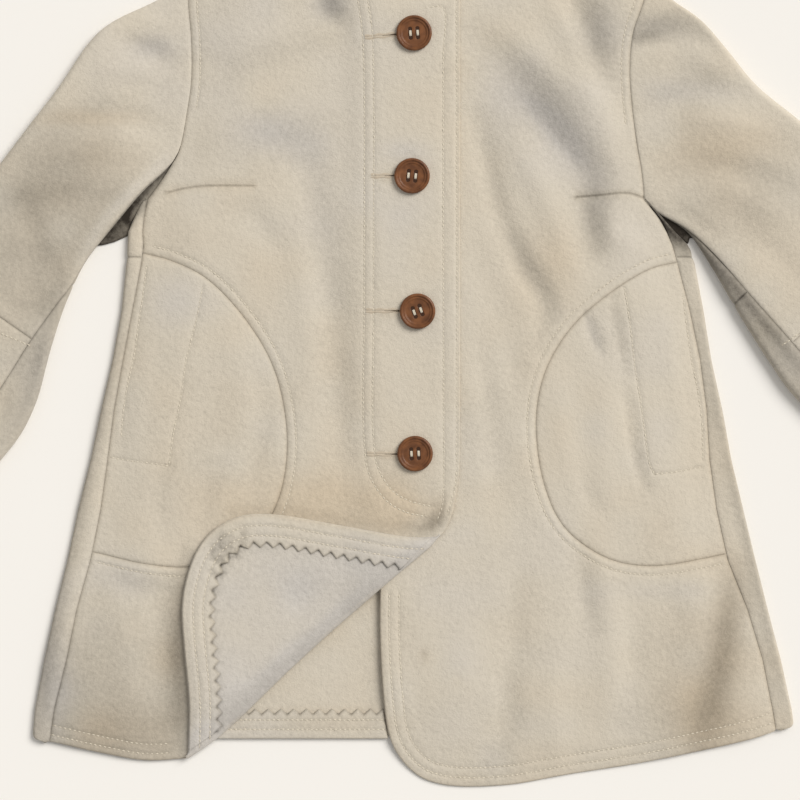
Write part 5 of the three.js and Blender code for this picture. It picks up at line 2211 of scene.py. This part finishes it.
@dataclass
class Coat:
    """The whole coat: body, sleeves, hood, facings, stitching and buttons."""

    pattern: Pattern
    finishes: Finishes
    cloth: dict[str, Thing] = field(default_factory=dict)
    trims: list[tuple[Thing, Slot]] = field(default_factory=list)
    rows: StitchRows = field(init=False)
    facing: float = 31.0

    def _keep(self, name: str, *things: Thing) -> None:
        """Joins and dresses a cloth piece and files it under its node's name.

        Args:
            name: The node that the piece stands for.
            things: The objects that make it up.
        """
        thing = joined(*things) if len(things) > 1 else things[0]
        thing.data.materials.clear()
        thing.data.materials.append(self.finishes.wool)
        self.cloth[name] = thing
        LOG.info("%s: %d triangles", name, len(thing.data.polygons))

    def build_back(self) -> None:
        """Builds the two lengths of the back, and its yoke under the shoulders."""
        wrap = Wrap(self.pattern)
        half = TOUCH / 2 / self.pattern.unit
        upper = wrap.stretch("wool_back_upper", UNDERARM, WAIST_SEAM - half, False)
        loop = loop_of(
            curve(ARMHOLE_L)[:-1],
            straight([(149, 204), (149, 212), (640, 212), (643, 204)], 6.0),
            curve(ARMHOLE_R)[::-1],
            straight([(648, -22), (495, -75), (413, -79), (331, -75), (190, -20)]),
        )
        yoke = Panel("wool_back_yoke", loop, on_ground, self.pattern, step=14.0)
        self._keep("back_upper", upper, yoke.build())
        self._keep("back_lower", wrap.stretch("wool_back_lower", WAIST_SEAM + half, BACK_HEM, True))

    def build_fronts(self) -> None:
        """Builds both fronts, the pocket panels, the turned-back corner and the facings."""
        axis = curve(FOLD_LINE) - np.array(FOLD_OUT) * ROLL / self.pattern.unit
        seam_l, seam_r = curve(PANEL_SEAM_L), curve(PANEL_SEAM_R)
        side_l, side_r = side_line(SEAM_L, UNDERARM, BACK_HEM), side_line(SEAM_R, UNDERARM, BACK_HEM_RIGHT)
        pocket_l = loop_of(seam_l, side_line(SEAM_L, 552, 253)[1:-1])
        pocket_r = loop_of(seam_r, side_line(SEAM_R, 554, 262)[1:-1])
        flap = loop_of(axis, curve(FLAP_EDGE)[::-1])
        facing, teeth = self._facing_outline(flap, axis)
        hem_facing, hem_teeth = self._hem_outline()
        self.rows = rows = StitchRows(flap)
        place = self.pattern
        corner = Panel(
            "wool_front_right_corner", flap, flap_under, place, FLAP_FOLDS,
            grooves=rows.flap, runs_on=axis, marks=(teeth,), tint=-0.7,
        )
        pieces = {
            "front_right": Panel(
                "wool_front_right", self._right_outline(axis), lap_under, place, FRONT_FOLDS,
                grooves=rows.front_right, seams=(curve(ARMHOLE_L), side_l, seam_l), runs_on=axis,
                darts=(rows.dart_l,),
            ),
            "front_left": Panel(
                "wool_front_left", self._left_outline(), front_under, place, FRONT_FOLDS,
                grooves=rows.front_left, seams=(curve(ARMHOLE_R), side_r, seam_r), darts=(rows.dart_r,),
            ),
            "pocket_panel_right": Panel(
                "wool_pocket_panel_right", pocket_l, lap_under, place, FRONT_FOLDS,
                grooves=rows.pocket_right, seams=(seam_l, side_l),
            ),
            "pocket_panel_left": Panel(
                "wool_pocket_panel_left", pocket_r, front_under, place, FRONT_FOLDS,
                grooves=rows.pocket_left, seams=(seam_r, side_r),
            ),
            "facing_right": Panel(
                "wool_facing_right", facing, facing_under, place, FLAP_FOLDS,
                grooves=rows.flap, runs_on=axis, marks=(teeth,), thick=FACING, tint=-0.35,
            ),
            "hem_facing_back": Panel(
                "wool_hem_facing_back", hem_facing, on_back, place,
                grooves=rows.hem_facing, marks=(hem_teeth,), thick=FACING, groove_depth=0.3, tint=-0.4,
            ),
        }
        for name, piece in pieces.items():
            extra = (corner.build(), self._roll(axis)) if name == "front_right" else ()
            self._keep(name, piece.build(), *extra)

    def _right_outline(self, axis: Array) -> Array:
        """Outline of the right front, up to the fold of its turned-back corner.

        Args:
            axis: The fold's line in grid units.

        Returns:
            The outline in grid units.
        """
        edge = [
            (441, 535.3), (444.5, 531.5), (449.5, 522.5), (453.5, 510), (457, 490), (459.5, 470), (460, 400),
            (460, -2),
        ]
        return loop_of(
            curve(ARMHOLE_L),
            side_line(SEAM_L, UNDERARM, 253),
            curve(PANEL_SEAM_L)[1:],
            side_line(SEAM_L, 552, 742)[1:],
            curve(HEM_RIGHT_FRONT)[1:-1],
            axis[::-1],
            straight(edge),
            curve(NECK_R)[::-1][1:],
            straight([(331, -75), (190, -20)])[1:-1],
        )

    def _left_outline(self) -> Array:
        """Outline of the left front, as far as it runs below the right one.

        Returns:
            The outline in grid units.
        """
        return loop_of(
            curve(ARMHOLE_R),
            side_line(SEAM_R, UNDERARM, 262),
            curve(PANEL_SEAM_R)[1:],
            side_line(SEAM_R, 554, BACK_HEM_RIGHT)[1:],
            curve(HEM_LEFT_FRONT)[::-1],
            straight([(380, 594), (380, -3)])[1:],
            curve(NECK_L)[::-1][1:],
            straight([(495, -75), (648, -22)])[1:-1],
        )

    def _roll(self, axis: Array) -> Thing:
        """The rounded fold that joins the front to its turned-back corner.

        Args:
            axis: The line that the cloth folds about, in grid units.

        Returns:
            The fold as an object.
        """
        low = lap_under(axis[:, 0], axis[:, 1])
        high = flap_under(axis[:, 0], axis[:, 1]) + CLOTH
        rows = []
        for k, (x, y) in enumerate(self.pattern.place(axis)):
            middle, radius = (low[k] + high[k]) / 2, (high[k] - low[k]) / 2
            turned = [(-1.2, low[k] + 0.02)]
            for angle in np.linspace(-math.pi / 2, math.pi / 2, 13):
                out = ROLL * math.cos(angle) * (0.25 + 0.75 * smooth(0, 7, k))
                turned.append((out, middle + radius * math.sin(angle)))
            turned.append((-0.8, high[k] - 0.03))
            rows.append([(x + FOLD_OUT[0] * out, y - FOLD_OUT[1] * out, z) for out, z in turned])
        grid = np.array(rows)
        return wall("wool_fold", grid, np.full(grid.shape[:2], 20.0), self.pattern, TURN_FOLDS, crisp=True)

    def _facing_outline(self, flap: Array, axis: Array) -> tuple[Array, tuple[Array, Array]]:
        """Outline of the pinked facing on the turned-back corner.

        Args:
            flap: The corner's outline in grid units.
            axis: The fold's line.

        Returns:
            The outline, and its pinked inner edge with the strength of the painted shadow at each sample.
        """
        edge = curve(FLAP_EDGE, STEP / 2)
        outer, inner = offset(edge, 0.9), offset(edge, self.facing)
        inner = straight(inner[(nearest(inner, edge) > self.facing - 1.0) & inside(inner, flap)], 6.4)
        t = np.gradient(inner, axis=0)
        t /= np.linalg.norm(t, axis=1, keepdims=True)
        teeth = inner + 2.8 * zigzag(len(inner))[:, None] * np.stack([t[:, 1], -t[:, 0]], axis=1)
        teeth = straight(teeth, 1.4)
        outer = outer[inside(outer, flap) & (nearest(outer, axis) > 3.0)]
        return loop_of(outer, teeth[::-1]), notches(teeth, nearest(teeth, edge), self.facing)

    def _hem_outline(self) -> tuple[Array, tuple[Array, Array]]:
        """Outline of the pinked hem facing inside the back, and its pinked edge with its painted shadow.

        Returns:
            The outline, and the pinked edge with the shade of each sample.
        """
        xs = np.arange(236, 386, 6.4)
        top = np.column_stack([xs, 711.75 + 2.75 * zigzag(len(xs))])
        teeth = straight(top, 1.4)
        rest = straight([top[-1], (388, 739.3), (210, 739.3), top[0]])
        return loop_of(teeth, rest), notches(teeth, BACK_HEM + 1 - teeth[:, 1], self.facing)

    def build_sleeves(self) -> None:
        """Builds both sleeves and the cloth sunk under each arm."""
        for cut, label in ((SLEEVE_RIGHT, "sleeve_right"), (SLEEVE_LEFT, "sleeve_left")):
            sleeve = Sleeve(cut, self.pattern)
            loop = loop_of(straight(cut.web))
            # The sunk cloth is darkened with painted shade for the armpit's hollow.
            web = Panel("wool_web", loop, on_ground, self.pattern, WEB_FOLDS, shade=cut.web_shade)
            for upper, over in ((True, "upper"), (False, "under")):
                for top, end in ((True, "top"), (False, "cuff")):
                    name = f"{label}_{over}_{end}"
                    extra = (web.build(),) if top and not upper else ()
                    self._keep(name, sleeve.piece("wool_" + name, upper, top), *extra)

    def build_hood(self) -> None:
        """Builds both halves of the hood."""
        for side, name in ((Side.RIGHT, "hood_right"), (Side.LEFT, "hood_left")):
            self._keep(name, Hood(side, self.pattern).build("wool_" + name))

    def sew(self) -> None:
        """Sews the topstitching, buttonholes and buttons."""
        surface = Surface(list(self.cloth.values()))
        stitching = Stitching(surface, self.pattern, self.finishes.thread, self.finishes.needle_hole_shade)
        for name, rows in self.rows.sewn().items():
            self.trims.append((stitching.sew("thread_" + name, rows), Slot.WOOL))
        hole = Buttonhole(surface, self.pattern, self.finishes)
        for k, line in enumerate(BUTTONHOLES):
            self.trims.append((hole.build(f"buttonhole_{k + 1}", line), Slot.WOOL))
        button = Button(self.pattern, self.finishes)
        for k, (x, y, turn) in enumerate(BUTTONS):
            at = self.pattern.place(np.array([x, y]))
            below = np.vstack([circle(at, radius, radius, np.linspace(0, 6, 12)) for radius in (6, 14)])
            seat = max(surface.drop(*point) for point in below) + 0.25
            thing = button.build(f"plastic_button_{k + 1}", x, y, turn, seat)
            self.trims.append((thing, Slot.BUTTON))
            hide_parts(f"button_{k + 1}")
        LOG.info("sewn: %d trims", len(self.trims))

    def declare(self) -> None:
        """Hangs each cloth piece and trim on the root body, and hides the solid that each cloth piece
        replaces.
        """
        for name, thing in self.cloth.items():
            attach(thing, "root")
            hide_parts(name)
        for thing, slot in self.trims:
            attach(thing, "root")


@dataclass
class Studio:
    """Pale floor, soft light and the camera straight above."""

    pattern: Pattern
    middle: float = 400.0
    height: float = 2.5
    cloth_level: float = 0.008
    view: float = 0.72
    sensor: float = 36.0
    floor_half: float = 9000.0
    floor_drop: float = 0.0004
    sky: tuple[float, ...] = (1.0, 0.985, 0.96, 1.0)
    sky_strength: float = 0.44
    lamp: Colour = (1.0, 0.97, 0.93)

    def build(self) -> None:
        """Sets up floor, light and camera."""
        centre = self.pattern.place(np.array([self.middle, self.middle])) * MM
        corners = np.array([(-1, -1, 0), (1, -1, 0), (1, 1, 0), (-1, 1, 0)]) * self.floor_half
        floor = solid("floor", corners, np.array([(0, 1, 2), (0, 2, 3)]))
        floor.location.z = -self.floor_drop
        floor.data.materials.append(Plain("pale_floor", (0.93, 0.91, 0.875), 0.9).make())
        scene = bpy.context.scene
        scene.view_settings.view_transform = "Standard"
        scene.view_settings.look = "None"
        world = bpy.data.worlds.new("studio")
        world.use_nodes = True
        background = world.node_tree.nodes["Background"]
        background.inputs["Color"].default_value = self.sky
        background.inputs["Strength"].default_value = self.sky_strength
        scene.world = world
        self._light("key", (2.7, 2.0, 3.1), centre, 34.0, 2.55)
        camera = bpy.data.objects.new("camera", bpy.data.cameras.new("camera"))
        scene.collection.objects.link(camera)
        camera.data.sensor_width = self.sensor
        camera.data.lens = self.sensor * (self.height - self.cloth_level) / self.view
        camera.data.clip_end = 50.0
        camera.location = (centre[0], centre[1], self.height)
        scene.camera = camera

    def _light(
        self, name: str, place: tuple[float, float, float], centre: Array, spread: float, power: float
    ) -> None:
        """Hangs one soft, distant lamp aimed at the coat.

        Args:
            name: The lamp's name.
            place: Its place from the picture's middle, in metres.
            centre: The picture's middle.
            spread: How wide it looks from the coat, in degrees.
            power: Its strength.
        """
        data = bpy.data.lights.new(name, "SUN")
        data.angle = math.radians(spread)
        data.energy = power
        data.color = self.lamp
        lamp = bpy.data.objects.new(name, data)
        lamp.location = (centre[0] + place[0], centre[1] + place[1], place[2])
        aim = Vector((centre[0], centre[1], 0.0)) - lamp.location
        lamp.rotation_euler = aim.to_track_quat("-Z", "Y").to_euler()
        bpy.context.scene.collection.objects.link(lamp)


def frame_pattern() -> Pattern:
    """The pattern grid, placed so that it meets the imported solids.

    Returns:
        The placed pattern.
    """
    low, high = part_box("button_1")
    plain = Pattern()
    here = plain.place(np.array(BUTTONS[0][:2]))
    x = (low[0] + high[0]) / 2 / MM - here[0]
    y = (low[1] + high[1]) / 2 / MM - here[1]
    return Pattern(shift_x=float(x), shift_y=float(y))


def main() -> None:
    """Builds the coat and its studio."""
    logging.basicConfig(level=logging.INFO, format="%(message)s")
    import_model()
    pattern = frame_pattern()
    coat = Coat(pattern, Finishes())
    coat.build_back()
    coat.build_fronts()
    coat.build_sleeves()
    coat.build_hood()
    coat.sew()
    coat.declare()
    Studio(pattern).build()


if __name__ == "__main__":
    main()
